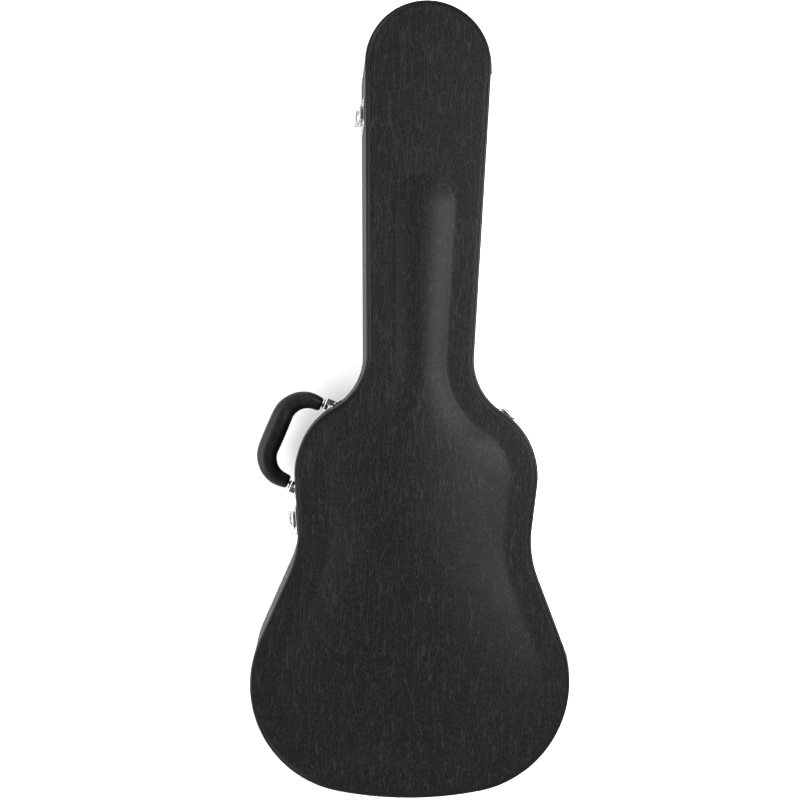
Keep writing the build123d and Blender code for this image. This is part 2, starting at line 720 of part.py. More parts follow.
def neck_spot(height):
    """A place on the left side of the neck."""
    share = (height - HALF - neck_point.Y) / direction(neck_line).Y
    point = neck_point + direction(neck_line) * share
    return Vector(-point.X, point.Y), 180 - (neck_line - 90)


def waist_spot(height):
    """A place on the left side of the waist, moved out so that a flat plate bridges the hollow."""
    rise = lean(height - HALF - waist_centre.Y, WAIST_RADIUS)
    bridge = WAIST_RADIUS - math.sqrt(WAIST_RADIUS**2 - (LATCH_PLATE_WIDTH / 2) ** 2)
    point = waist_centre + direction(180 - rise) * (WAIST_RADIUS - bridge)
    return Vector(-point.X, point.Y), 180 + rise


latch_spots = {
    "neck": neck_spot(NECK_LATCH_FROM_TAIL),
    "waist": waist_spot(WAIST_LATCH_FROM_TAIL),
    "tail_left": bulge_spot(side_centre, SIDE_RADIUS, LEFT_TAIL_LATCH_ANGLE, -1),
    "tail_right": bulge_spot(side_centre, SIDE_RADIUS, RIGHT_TAIL_LATCH_ANGLE, 1),
    "shoulder": bulge_spot(upper_centre, UPPER_BOUT_RADIUS, SHOULDER_LATCH_ANGLE, 1),
}

LATCH_FRAME = Plane.XY   # X along the wall, Y out of it, Z up, origin at the parting plane
PLATE_FOOT = -LATCH_PLATE_TOP - LATCH_PLATE_HEIGHT
PLATE_RIVETS = [
    (side * (LATCH_PLATE_WIDTH / 2 - RIVET_IN), up)
    for side in (-1, 1)
    for up in (-LATCH_PLATE_TOP - RIVET_DOWN, PLATE_FOOT + RIVET_DOWN)
]
STRIKE_RIVETS = [
    (side * (LATCH_PLATE_WIDTH / 2 - RIVET_IN), STRIKE_PLATE_FOOT + STRIKE_HEIGHT - RIVET_DOWN)
    for side in (-1, 1)
]


def rounded_plate(width, bottom, top):
    """A plate on the wall with rounded corners and a deep back, to be cut to the wall's curve."""
    with BuildPart(mode=Mode.PRIVATE) as plate:
        with BuildSketch(Plane.XZ.offset(-SHEET)):
            with Locations((0, (bottom + top) / 2)):
                RectangleRounded(width, top - bottom, LATCH_CORNER)
        extrude(amount=SHEET + SADDLE_DEPTH)
    return plate.part


wall_plate = rounded_plate(LATCH_PLATE_WIDTH, PLATE_FOOT, -LATCH_PLATE_TOP)
lid_plate = rounded_plate(
    LATCH_PLATE_WIDTH, STRIKE_PLATE_FOOT, STRIKE_PLATE_FOOT + STRIKE_HEIGHT
)

with BuildPart() as latch_plate:
    add(wall_plate)
    for along, up in PLATE_RIVETS:
        add(rivet_hole(LATCH_FRAME, along, up, SHEET), mode=Mode.SUBTRACT)
    for side in (-1, 1):
        ends = sorted((side * EAR_INNER, side * EAR_OUTER))
        add(rod(LATCH_FRAME, EAR_RADIUS, *ends, LATCH_PIVOT_OUT, -LATCH_PIVOT_DROP))
        add(
            column(
                LATCH_FRAME,
                *ends,
                0,
                LATCH_PIVOT_OUT,
                -LATCH_PIVOT_DROP - EAR_RADIUS,
                -LATCH_PIVOT_DROP + EAR_RADIUS,
            )
        )
    add(
        rod(LATCH_FRAME, LATCH_PIN_RADIUS, -EAR_OUTER, EAR_OUTER, LATCH_PIVOT_OUT, -LATCH_PIVOT_DROP),
        mode=Mode.SUBTRACT,
    )

with BuildPart() as latch_pin:
    add(
        rod(
            LATCH_FRAME,
            LATCH_PIN_RADIUS,
            -CHEEK_OUTER,
            CHEEK_OUTER,
            LATCH_PIVOT_OUT,
            -LATCH_PIVOT_DROP,
        )
    )

with BuildPart() as lever:
    web_out = LATCH_PIVOT_OUT + LEVER_WEB_OUT
    lever_foot = -LATCH_PIVOT_DROP - LEVER_LENGTH
    web_top = -LATCH_PIVOT_DROP - LEVER_WEB_START
    for side in (-1, 1):
        ends = sorted((side * CHEEK_INNER, side * CHEEK_OUTER))
        add(rod(LATCH_FRAME, LEVER_RADIUS, *ends, LATCH_PIVOT_OUT, -LATCH_PIVOT_DROP))
        add(
            column(
                LATCH_FRAME,
                *ends,
                LATCH_PIVOT_OUT - LEVER_RADIUS,
                LATCH_PIVOT_OUT + LEVER_RADIUS,
                web_top,
                -LATCH_PIVOT_DROP,
            )
        )
        add(
            column(
                LATCH_FRAME,
                *ends,
                LATCH_PIVOT_OUT - LEVER_RADIUS,
                web_out,
                lever_foot,
                web_top,
            )
        )
    add(column(LATCH_FRAME, -CHEEK_OUTER, CHEEK_OUTER, web_out, web_out + SHEET, lever_foot, web_top))
    half_tip = LEVER_TIP_WIDTH / 2
    tip_end = web_out + SHEET + LEVER_TIP_REACH
    add(
        column(
            LATCH_FRAME, -half_tip, half_tip, web_out, tip_end, lever_foot - SHEET, lever_foot
        )
    )
    tip_edges = lever.edges().filter_by(Axis.X).sort_by(Axis.Y)[-2:]
    fillet(tip_edges, SHEET * 0.4)
    add(
        rod(
            LATCH_FRAME,
            LATCH_PIN_RADIUS + RUNNING_CLEARANCE,
            -CHEEK_OUTER,
            CHEEK_OUTER,
            LATCH_PIVOT_OUT,
            -LATCH_PIVOT_DROP,
        ),
        mode=Mode.SUBTRACT,
    )
    add(
        rod(
            LATCH_FRAME,
            LATCH_PIN_RADIUS + RUNNING_CLEARANCE,
            -CHEEK_OUTER,
            CHEEK_OUTER,
            HASP_PIVOT_OUT,
            -HASP_PIVOT_DROP,
        ),
        mode=Mode.SUBTRACT,
    )

with BuildPart() as hasp:
    leg_in = HASP_PIVOT_OUT - HASP_THICKNESS / 2
    leg_out = HASP_PIVOT_OUT + HASP_THICKNESS / 2
    bar_top = HASP_BAR_FOOT + HASP_BAR_HEIGHT
    for side in (-1, 1):
        ends = sorted((side * LEG_INNER, side * LEG_OUTER))
        stub = sorted((side * CHEEK_INNER, side * LEG_OUTER))
        add(column(LATCH_FRAME, *ends, leg_in, leg_out, -HASP_PIVOT_DROP, bar_top))
        add(rod(LATCH_FRAME, HASP_END_RADIUS, *ends, HASP_PIVOT_OUT, -HASP_PIVOT_DROP))
        add(rod(LATCH_FRAME, LATCH_PIN_RADIUS, *stub, HASP_PIVOT_OUT, -HASP_PIVOT_DROP))
    add(column(LATCH_FRAME, -LEG_OUTER, LEG_OUTER, leg_in, leg_out, HASP_BAR_FOOT, bar_top))
    fillet(hasp.edges().filter_by(Axis.X).sort_by(Axis.Z)[-2:], HASP_THICKNESS * 0.4)

with BuildPart() as strike:
    add(lid_plate)
    for along, up in STRIKE_RIVETS:
        add(rivet_hole(LATCH_FRAME, along, up, SHEET), mode=Mode.SUBTRACT)
    ledge_half = LEG_INNER - 3 * SIDE_CLEARANCE
    with BuildSketch(Plane.YZ.offset(-ledge_half)):
        with BuildLine():
            Polyline(
                (SHEET / 2, STRIKE_LEDGE_TOP - STRIKE_LEDGE_RISE),
                (STRIKE_LEDGE_REACH, STRIKE_LEDGE_TOP),
                (STRIKE_LEDGE_REACH, STRIKE_LEDGE_TOP - STRIKE_LEDGE_THICKNESS),
                (SHEET / 2, STRIKE_LEDGE_TOP - STRIKE_LEDGE_THICKNESS - STRIKE_LEDGE_RISE),
                close=True,
            )
        make_face()
    extrude(amount=2 * ledge_half)

plate_rivets = []
strike_rivets = []
pivot_pins = []
for place, (point, angle) in latch_spots.items():
    frame = wall_frame(point, angle, PARTING)
    spot = frame.location
    save(latch_plate.part.moved(spot) - walls, f"latch_plate_{place}")
    save(lever.part.moved(spot), f"latch_lever_{place}")
    save(hasp.part.moved(spot), f"latch_hasp_{place}")
    save(strike.part.moved(spot) - walls, f"latch_strike_{place}")
    pivot_pins.append(latch_pin.part.moved(spot))
    for along, up in PLATE_RIVETS:
        plate_rivets.append(rivet(frame, along, up, SHEET))
    for along, up in STRIKE_RIVETS:
        strike_rivets.append(rivet(frame, along, up, SHEET))

# ================================================================ carrying handle

handle_outward = 180 - HANDLE_ANGLE
handle_origin = Vector(-upper_centre.X, upper_centre.Y) + direction(handle_outward) * UPPER_BOUT_RADIUS
handle_frame = wall_frame(handle_origin, handle_outward, HANDLE_HEIGHT)


def wall_behind(along):
    """The left wall's surface behind a place along the handle, and the direction out of it."""
    inner, outer = -UPPER_BOUT_RADIUS, 0.0
    for _ in range(40):
        middle = (inner + outer) / 2
        point = handle_frame.from_local_coords((along, middle, 0))
        if abs(point.X) < half_width(point.Y + HALF, 0):
            inner = middle
        else:
            outer = middle
    slope = half_width(point.Y + HALF + 1, 0) - half_width(point.Y + HALF - 1, 0)
    angle = 180 + math.degrees(math.atan2(slope, 2))
    return Vector(point.X, point.Y) + direction(angle) * HANDLE_PLATE_LIFT, angle


lug_half = HANDLE_KNUCKLE_LENGTH / 2
lug_outer = HANDLE_HALF_SPAN + lug_half
post_inner = lug_outer + SIDE_CLEARANCE
post_outer = post_inner + HANDLE_KNUCKLE_LENGTH
grip_end = HANDLE_END_GAP - HANDLE_PIVOT_IN

with BuildPart() as handle_grip:
    with BuildLine(handle_frame) as grip_path:
        FilletPolyline(
            (-HANDLE_HALF_SPAN, grip_end),
            (-HANDLE_HALF_SPAN, HANDLE_SHOULDER),
            (-HANDLE_TOP_HALF, HANDLE_REACH),
            (HANDLE_TOP_HALF, HANDLE_REACH),
            (HANDLE_HALF_SPAN, HANDLE_SHOULDER),
            (HANDLE_HALF_SPAN, grip_end),
            radius=HANDLE_BEND,
        )
    for number in range(GRIP_SECTIONS):
        share = number / (GRIP_SECTIONS - 1)
        full = math.sin(math.pi * share) ** GRIP_FULLNESS if 0 < share < 1 else 0
        with BuildSketch(grip_path.line ^ share):
            Ellipse(
                (GRIP_END_WIDTH + (GRIP_WIDTH - GRIP_END_WIDTH) * full) / 2,
                (GRIP_END_HEIGHT + (GRIP_HEIGHT - GRIP_END_HEIGHT) * full) / 2,
            )
    loft()
save(handle_grip.part, "handle_grip")

with BuildPart() as handle_eyes:
    for side in (-1, 1):
        centre = side * HANDLE_HALF_SPAN
        ends = (centre - lug_half, centre + lug_half)
        add(rod(handle_frame, HANDLE_KNUCKLE_RADIUS, *ends, -HANDLE_PIVOT_IN, 0))
        add(
            column(
                handle_frame,
                centre - HANDLE_NECK_WIDTH / 2,
                centre + HANDLE_NECK_WIDTH / 2,
                -HANDLE_PIVOT_IN,
                grip_end,
                -HANDLE_NECK_WIDTH / 2,
                HANDLE_NECK_WIDTH / 2,
            )
        )
        bore_radius = HANDLE_PIN_RADIUS + RUNNING_CLEARANCE
        add(rod(handle_frame, bore_radius, *ends, -HANDLE_PIVOT_IN, 0), mode=Mode.SUBTRACT)
save(handle_eyes.part, "handle_eyes")

handle_pins = []
bracket_rivets = []
for side, place in ((1, "head"), (-1, "tail")):
    ends = sorted((side * post_inner, side * post_outer))
    pin_ends = sorted((side * (HANDLE_HALF_SPAN - lug_half), side * post_outer))
    plate_frame = wall_frame(*wall_behind(side * (post_inner + post_outer) / 2), HANDLE_HEIGHT)
    half_high = HANDLE_PLATE_HEIGHT / 2
    plate = rounded_plate(HANDLE_PLATE_WIDTH, -half_high, half_high).moved(plate_frame.location)
    behind = column(plate_frame, -POST_DEPTH, POST_DEPTH, -2 * POST_DEPTH, 0, -TALL, TALL)
    heights = (-HANDLE_RIVET_HEIGHT, HANDLE_RIVET_HEIGHT)
    bracket_rivets += [rivet(plate_frame, 0, up, SHEET) for up in heights]

    with BuildPart() as handle_bracket:
        add(plate)
        add(column(handle_frame, *ends, -POST_DEPTH, -HANDLE_PIVOT_IN, -POST_HALF, POST_HALF))
        add(rod(handle_frame, HANDLE_KNUCKLE_RADIUS, *ends, -HANDLE_PIVOT_IN, 0))
        add(rod(handle_frame, HANDLE_PIN_RADIUS, *ends, -HANDLE_PIVOT_IN, 0), mode=Mode.SUBTRACT)
        for up in heights:
            add(rivet_hole(plate_frame, 0, up, SHEET), mode=Mode.SUBTRACT)
        add(behind, mode=Mode.SUBTRACT)
    save(handle_bracket.part, f"handle_bracket_{place}")
    handle_pins.append(rod(handle_frame, HANDLE_PIN_RADIUS, *pin_ends, -HANDLE_PIVOT_IN, 0))

# ================================================================ fasteners, one node for each set

fastener_sets = {
    "latch_plate_rivets": plate_rivets,
    "latch_strike_rivets": strike_rivets,
    "latch_pivot_pins": pivot_pins,
    "hinge_base_rivets": base_hinge_rivets,
    "hinge_lid_rivets": lid_hinge_rivets,
    "handle_pins": handle_pins,
    "handle_bracket_rivets": bracket_rivets,
}
for name, pieces in fastener_sets.items():
    save(Compound(children=[piece.solid() for piece in pieces]), name)
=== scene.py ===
import math

import bpy
import numpy as np
from mathutils import Matrix, Vector


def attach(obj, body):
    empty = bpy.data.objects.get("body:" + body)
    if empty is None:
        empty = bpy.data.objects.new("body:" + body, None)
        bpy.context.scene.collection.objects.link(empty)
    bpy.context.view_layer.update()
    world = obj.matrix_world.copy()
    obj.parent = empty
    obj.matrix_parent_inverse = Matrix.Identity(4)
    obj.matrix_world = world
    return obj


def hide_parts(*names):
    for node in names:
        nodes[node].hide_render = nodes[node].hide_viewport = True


# Looks for a hard-shell guitar case that lies on its back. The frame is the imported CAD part.
# Sizes are millimetres and are turned into metres where a mesh is made.

MM = 0.001
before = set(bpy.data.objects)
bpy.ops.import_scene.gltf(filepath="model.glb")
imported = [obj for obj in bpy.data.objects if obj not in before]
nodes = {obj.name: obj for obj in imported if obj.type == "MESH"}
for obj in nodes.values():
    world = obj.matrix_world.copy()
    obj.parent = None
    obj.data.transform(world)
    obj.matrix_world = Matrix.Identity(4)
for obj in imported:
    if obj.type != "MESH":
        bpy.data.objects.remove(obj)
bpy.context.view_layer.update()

# ---- The outline and levels of the case, as in the CAD part
LENGTH = 1110.0
HALF = LENGTH / 2
LOWER_BOUT_WIDTH = 447.0
LOWER_BOUT_FROM_TAIL = 160.0
TAIL_RADIUS = 520.0
UPPER_BOUT_WIDTH = 340.0
UPPER_BOUT_FROM_TAIL = 450.0
UPPER_BOUT_RADIUS = 107.0
WAIST_INSET = 7.0
WAIST_FROM_TAIL = 366.0
WAIST_RADIUS = 146.0
SHOULDER_RADIUS = 85.0
NECK_WIDTH = 149.0
NECK_FROM_TAIL = 600.0
HEAD_RADIUS = 88.0
SIDE_RADIUS = (
    LOWER_BOUT_FROM_TAIL * (2 * TAIL_RADIUS - LOWER_BOUT_FROM_TAIL) - LOWER_BOUT_WIDTH**2 / 4
) / (2 * TAIL_RADIUS - LOWER_BOUT_WIDTH)
WALL = 5.0
PANEL = 5.0
PARTING = 96.0
LID_TOP = 138.0
BORDER = 40.0
BODY_ARCH = 18.0
NECK_ARCH = 9.0
TAIL_ARCH = 9.0
ARCH_CROWN_FROM_TAIL = 360.0
ARCH_NECK_FROM_TAIL = 610.0
ARCH_HEAD_END_FROM_TAIL = 868.0
ARCH_TAIL_HOLD = 80.0
OUTLINE_STEP = 3.0         # along the outline, between the points of the shells

# ---- Colours
BLACK_VINYL = "#060505"
# The vinyl's creases are coloured lighter than the vinyl: a painted highlight along them.
VINYL_CREASE_PAINTED_HIGHLIGHT = "#1D1B19"
BINDING_BLACK = "#060506"
CHROME = "#B4B6B8"
PLUSH = "#1B1A1D"
GRIP_BLACK = "#0C0B0C"
ALUMINIUM = "#A9A9AB"
RIBBON = "#17161A"
PAPER = "#FFFFFF"


# ================================================================ small helpers


def rgb(text):
    """Linear colour from an sRGB hex text."""
    channels = [int(text[i : i + 2], 16) / 255 for i in (1, 3, 5)]
    return [c / 12.92 if c <= 0.04045 else ((c + 0.055) / 1.055) ** 2.4 for c in channels] + [1.0]


def direction(angle):
    """Unit vector in the plane, from degrees."""
    return np.array([math.cos(math.radians(angle)), math.sin(math.radians(angle))])


def bearing(vector):
    """Degrees of a vector in the plane."""
    return math.degrees(math.atan2(vector[1], vector[0]))


def lean(opposite, hypotenuse):
    """Arcsine in degrees."""
    return math.degrees(math.asin(opposite / hypotenuse))


def distance(a, b):
    """Length between two points in the plane."""
    return float(np.hypot(*(b - a)))


def ease(value):
    """Smooth step from 0 to 1, on numbers or arrays."""
    clipped = np.clip(value, 0, 1)
    return clipped * clipped * (3 - 2 * clipped)


# ================================================================ the outline

tail_centre = np.array([0, TAIL_RADIUS - HALF])
side_centre = np.array([LOWER_BOUT_WIDTH / 2 - SIDE_RADIUS, LOWER_BOUT_FROM_TAIL - HALF])
upper_centre = np.array([UPPER_BOUT_WIDTH / 2 - UPPER_BOUT_RADIUS, UPPER_BOUT_FROM_TAIL - HALF])
waist_centre = np.array(
    [UPPER_BOUT_WIDTH / 2 - WAIST_INSET + WAIST_RADIUS, WAIST_FROM_TAIL - HALF]
)
head_centre = np.array([0, HALF - HEAD_RADIUS])
low_line = bearing(waist_centre - side_centre) + lean(
    SIDE_RADIUS + WAIST_RADIUS, distance(side_centre, waist_centre)
)
high_line = bearing(upper_centre - waist_centre) - lean(
    WAIST_RADIUS + UPPER_BOUT_RADIUS, distance(waist_centre, upper_centre)
)
neck_point = np.array([NECK_WIDTH / 2, NECK_FROM_TAIL - HALF])
neck_line = bearing(head_centre - neck_point) - lean(
    HEAD_RADIUS, distance(neck_point, head_centre)
)
rail = neck_point + direction(neck_line - 90) * SHOULDER_RADIUS
reach = rail - upper_centre
forward = reach @ direction(neck_line)
touch = SHOULDER_RADIUS + UPPER_BOUT_RADIUS
shoulder_centre = rail + direction(neck_line) * (
    math.sqrt(forward**2 - reach @ reach + touch**2) - forward
)

# Each arc: centre, radius, +1 where it bulges outwards or -1 where it is hollow, two bearings.
ARCS = [
    (tail_centre, TAIL_RADIUS, 1, -90.0, bearing(side_centre - tail_centre)),
    (side_centre, SIDE_RADIUS, 1, bearing(side_centre - tail_centre), low_line - 90),
    (waist_centre, WAIST_RADIUS, -1, low_line + 90, high_line + 90),
    (upper_centre, UPPER_BOUT_RADIUS, 1, high_line - 90, bearing(shoulder_centre - upper_centre)),
    (
        shoulder_centre,
        SHOULDER_RADIUS,
        -1,
        bearing(upper_centre - shoulder_centre) + 360,
        neck_line + 90,
    ),
    (head_centre, HEAD_RADIUS, 1, neck_line - 90, 90.0),
]


def right_side():
    """Points and outward normals up the right side, evenly spaced along each arc and line."""
    points, normals = [], []
    for centre, radius, bulge, start, end in ARCS:
        first = centre + direction(start) * radius
        if points and distance(points[-1], first) > OUTLINE_STEP:
            steps = int(distance(points[-1], first) / OUTLINE_STEP)
            last = points[-1]
            for i in range(1, steps):
                points.append(last + (first - last) * i / steps)
                normals.append(direction(start) * bulge)
        steps = max(2, round(math.radians(abs(end - start)) * radius / OUTLINE_STEP))
        for i in range(steps if centre is not head_centre else steps + 1):
            angle = start + (end - start) * i / steps
            points.append(centre + direction(angle) * radius)
            normals.append(direction(angle) * bulge)
    return np.array(points), np.array(normals)


right_points, right_normals = right_side()
flip = np.array([-1.0, 1.0])
RIM = np.vstack([right_points, right_points[-2:0:-1] * flip])
OUTWARD = np.vstack([right_normals, right_normals[-2:0:-1] * flip])


def half_width(height, inset):
    """Half the width of the outline, moved inwards by inset, at heights above the tail end."""
    side = right_points - right_normals * inset
    return np.interp(height - HALF, side[:, 1], side[:, 0])


def crown(height):
    """Height of the arch's crown above the flat border, before its two ends round off."""
    tail = TAIL_ARCH + (BODY_ARCH - TAIL_ARCH) * ease(height / ARCH_CROWN_FROM_TAIL)
    fall = ease((height - ARCH_CROWN_FROM_TAIL) / (ARCH_NECK_FROM_TAIL - ARCH_CROWN_FROM_TAIL))
    return np.where(height < ARCH_CROWN_FROM_TAIL, tail, BODY_ARCH + (NECK_ARCH - BODY_ARCH) * fall)


def arch(x, y):
    """Height of the lid's arch above its flat border."""
    height = y + HALF
    foot = half_width(height, BORDER)
    base = np.maximum(foot, 20.0)
    near_tail = height < BORDER + ARCH_TAIL_HOLD
    base = np.where(near_tail, half_width(BORDER + ARCH_TAIL_HOLD, BORDER), base)
    end_centre = ARCH_HEAD_END_FROM_TAIL - half_width(ARCH_HEAD_END_FROM_TAIL, BORDER)
    past = np.maximum(height - end_centre, 0)
    rise = (foot**2 - past**2 - x * x) / base**2
    rise = np.where(height < BORDER, -1, rise)
    # The foot line is softened, as vinyl stretched over plywood is.
    soft = 0.05
    rise = 0.5 * (rise + np.sqrt(rise * rise + soft * soft)) - 0.012
    return crown(height) * np.maximum(rise, 0)


# ================================================================ mesh helpers


def only(obj):
    """Selects one object and nothing else."""
    bpy.ops.object.select_all(action="DESELECT")
    obj.select_set(True)
    bpy.context.view_layer.objects.active = obj


def edit(obj, *steps):
    """Runs operators in edit mode on all of a mesh."""
    only(obj)
    bpy.ops.object.mode_set(mode="EDIT")
    bpy.ops.mesh.select_all(action="SELECT")
    for step in steps:
        step()
    bpy.ops.object.mode_set(mode="OBJECT")


def pick(obj, kind, chosen):
    """Enters edit mode with only those edges or faces of a mesh selected that are chosen."""
    only(obj)
    mesh = obj.data
    bpy.context.tool_settings.mesh_select_mode = (False, kind == "EDGE", kind == "FACE")
    for group in (mesh.vertices, mesh.edges, mesh.polygons):
        group.foreach_set("select", [False] * len(group))
    for item in mesh.edges if kind == "EDGE" else mesh.polygons:
        item.select = bool(chosen(item))
    bpy.ops.object.mode_set(mode="EDIT")


def leave_edit():
    """Back to object mode, with points as the kind of selection."""
    bpy.ops.mesh.select_mode(type="VERT")
    bpy.ops.object.mode_set(mode="OBJECT")


def lattice(name, across, along):
    """A grid primitive and, for each of its points, its two places on the grid as whole numbers."""
    bpy.ops.object.select_all(action="DESELECT")
    bpy.ops.mesh.primitive_grid_add(x_subdivisions=across, y_subdivisions=along, size=2)
    obj = bpy.context.active_object
    obj.name = obj.data.name = name
    flat = np.zeros(len(obj.data.vertices) * 3)
    obj.data.vertices.foreach_get("co", flat)
    flat = flat.reshape(-1, 3)
    u = np.rint((flat[:, 0] + 1) / 2 * across).astype(int)
    v = np.rint((flat[:, 1] + 1) / 2 * along).astype(int)
    return obj, u, v


def place(obj, points):
    """Puts a mesh's points where a list in millimetres says."""
    obj.data.vertices.foreach_set("co", (np.asarray(points) * MM).ravel())
    obj.data.update()


def read(obj):
    """A mesh's points in millimetres."""
    flat = np.zeros(len(obj.data.vertices) * 3)
    obj.data.vertices.foreach_get("co", flat)
    return flat.reshape(-1, 3) / MM


def weld(obj):
    """Merges a mesh's doubled points and turns its faces outwards."""
    edit(
        obj,
        lambda: bpy.ops.mesh.remove_doubles(threshold=0.00001),
        lambda: bpy.ops.mesh.dissolve_degenerate(threshold=0.000001),
        lambda: bpy.ops.mesh.normals_make_consistent(inside=False),
    )


def smooth(obj, angle=35):
    """Smooth shading with sharp edges kept."""
    only(obj)
    bpy.ops.object.shade_smooth_by_angle(angle=math.radians(angle))


def apply(obj, kind, **values):
    """Adds a modifier, sets its values and applies it."""
    only(obj)
    modifier = obj.modifiers.new(kind, kind)
    for key, value in values.items():
        setattr(modifier, key, value)
    bpy.ops.object.modifier_apply(modifier=modifier.name)


def shell(name, rings):
    """A closed skin round the case. Each ring is (inset, height) or a function of the rim.
    """
    count = len(RIM)
    obj, u, v = lattice(name, count, len(rings) - 1)
    table = []
    for ring in rings:
        if callable(ring):
            table.append(ring())
        else:
            inset, height = ring
            flat = RIM - OUTWARD * inset
            table.append(np.column_stack([flat, np.full(count, height)]))
    table = np.array(table)
    place(obj, table[v, u % count])
    weld(obj)
    clear_middle(obj)
    return obj


def clear_middle(obj):
    """Removes the faces left standing inside a skin where its two halves meet."""
    middle = np.abs(read(obj)[:, 0]) < 0.001
    pick(obj, "FACE", lambda face: middle[list(face.vertices)].all())
    bpy.ops.mesh.delete(type="FACE")
    leave_edit()
    edit(obj, lambda: bpy.ops.mesh.normals_make_consistent(inside=False))


def level_at(height):
    """A height function that is the same everywhere."""
    return lambda x, y: 0 * x + height


def towards_spine(inset, share, height_of):
    """A ring that lies part of the way from an inset ring to the middle of the case."""

    def ring():
        start = RIM - OUTWARD * inset
        low = side_centre[1] - 40
        spine = np.column_stack([0 * start[:, 0], np.clip(start[:, 1], low, head_centre[1])])
        flat = start + (spine - start) * share
        return np.column_stack([flat, height_of(flat[:, 0], flat[:, 1])])

    return ring


def band(name, profile):
    """A closed ring round the case with the given (inset, height) profile, in order."""
    return shell(name, list(profile) + [profile[0]])


def corner(inset, height, radius, start, end, steps):
    """Points of a rounded corner in (inset, height), centred there, between two angles."""
    points = []
    for i in range(steps + 1):
        angle = math.radians(start + (end - start) * i / steps)
        points.append((inset - radius * math.cos(angle), height + radius * math.sin(angle)))
    return points


def sweep(name, path, section):
    """A tube with closed ends: sections (points across the path) carried along a path of frames.

    path is a list of (centre, side, up) and section a function of the place along it, 0 to 1.
    """
    count = len(path)
    around = len(section(0.0))
    obj, u, v = lattice(name, around, count - 1)
    table = []
    for i, (centre, side, up) in enumerate(path):
        shape = np.array(section(i / (count - 1)))
        table.append(centre + shape[:, :1] * side + shape[:, 1:] * up)
    table = np.array(table)
    place(obj, table[v, u % around])
    edit(obj, lambda: bpy.ops.mesh.remove_doubles(threshold=0.00001))
    edit_fill(obj)
    weld(obj)
    return obj


def edit_fill(obj):
    """Closes a mesh's open ends."""
    only(obj)
    bpy.ops.object.mode_set(mode="EDIT")
    bpy.ops.mesh.select_all(action="DESELECT")
    bpy.ops.mesh.select_mode(type="EDGE")
    bpy.ops.mesh.select_non_manifold()
    bpy.ops.mesh.fill_holes(sides=0)
    bpy.ops.mesh.select_mode(type="VERT")
    bpy.ops.object.mode_set(mode="OBJECT")


def oval(width, height, count=28, square=2.4):
    """A rounded section, from an ellipse (square 2) to a rounded rectangle."""
    points = []
    for i in range(count):
        a = 2 * math.pi * i / count
        c, s = math.cos(a), math.sin(a)
        x = math.copysign(abs(c) ** (2 / square), c) * width / 2
        z = math.copysign(abs(s) ** (2 / square), s) * height / 2
        points.append((x, z))
    return points


def finish_piece(obj, body, material, replaced=(), angle=35):
    """Gives a piece its material and smooth shading, hangs it under its body's empty and hides the CAD
    nodes that it stands for.
    """
    obj.data.materials.clear()
    obj.data.materials.append(material)
    smooth(obj, angle)
    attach(obj, body)
    if replaced:
        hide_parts(*replaced)
    return obj


# ================================================================ materials


class Nodes:
    """A material's node tree, with one short way to add a node."""

    def __init__(self, name):
        self.material = bpy.data.materials.new(name)
        self.material.use_nodes = True
        self.tree = self.material.node_tree
        self.surface = self.tree.nodes["Principled BSDF"]
        self.place = self.add("ShaderNodeTexCoord").outputs["Object"]

    def add(self, kind, inputs=None, **values):
        """Adds a node, sets its values, and sets or links its inputs."""
        node = self.tree.nodes.new(kind)
        for key, value in values.items():
            setattr(node, key, value)
        for key, value in (inputs or {}).items():
            self.put(node.inputs[key], value)
        return node

    def put(self, socket, value):
        """Links a socket, or sets its constant."""
        if isinstance(value, bpy.types.NodeSocket):
            self.tree.links.new(value, socket)
        else:
            socket.default_value = value

    def look(self, **inputs):
        """Sets the surface's inputs by name, with _ for a space."""
        for key, value in inputs.items():
            self.put(self.surface.inputs[key.replace("_", " ")], value)

    def blend(self, factor, low, high):
        """A colour between two."""
        mix = self.add("ShaderNodeMix", data_type="RGBA")
        self.put(mix.inputs[0], factor)
        self.put(mix.inputs[6], low)
        self.put(mix.inputs[7], high)
        return mix.outputs[2]

    def span(self, value, low, high, to_low=0.0, to_high=1.0):
        """A value remapped from one range to another."""
        inputs = {
            "Value": value,
            "From Min": low,
            "From Max": high,
            "To Min": to_low,
            "To Max": to_high,
        }
        return self.add("ShaderNodeMapRange", inputs).outputs["Result"]

    def stretch(self, x, y, z):
        """Object coordinates scaled along each axis."""
        node = self.add("ShaderNodeMapping", {"Vector": self.place})
        node.inputs["Scale"].default_value = (x, y, z)
        return node.outputs["Vector"]

    def noise(self, vector, size_mm, detail=4.0, rough=0.6, warp=0.0):
        """Noise whose features are about size_mm across."""
        inputs = {
            "Vector": vector,
            "Scale": 1 / (size_mm * MM),
            "Detail": detail,
            "Roughness": rough,
            "Distortion": warp,
        }
        return self.add("ShaderNodeTexNoise", inputs).outputs["Fac"]

    def bump(self, height, depth_mm, strength=1.0, below=None):
        """A surface normal from a height of 0 to 1 that stands for depth_mm."""
        inputs = {"Height": height, "Distance": depth_mm * MM, "Strength": strength}
        if below is not None:
            inputs["Normal"] = below
        return self.add("ShaderNodeBump", inputs).outputs["Normal"]


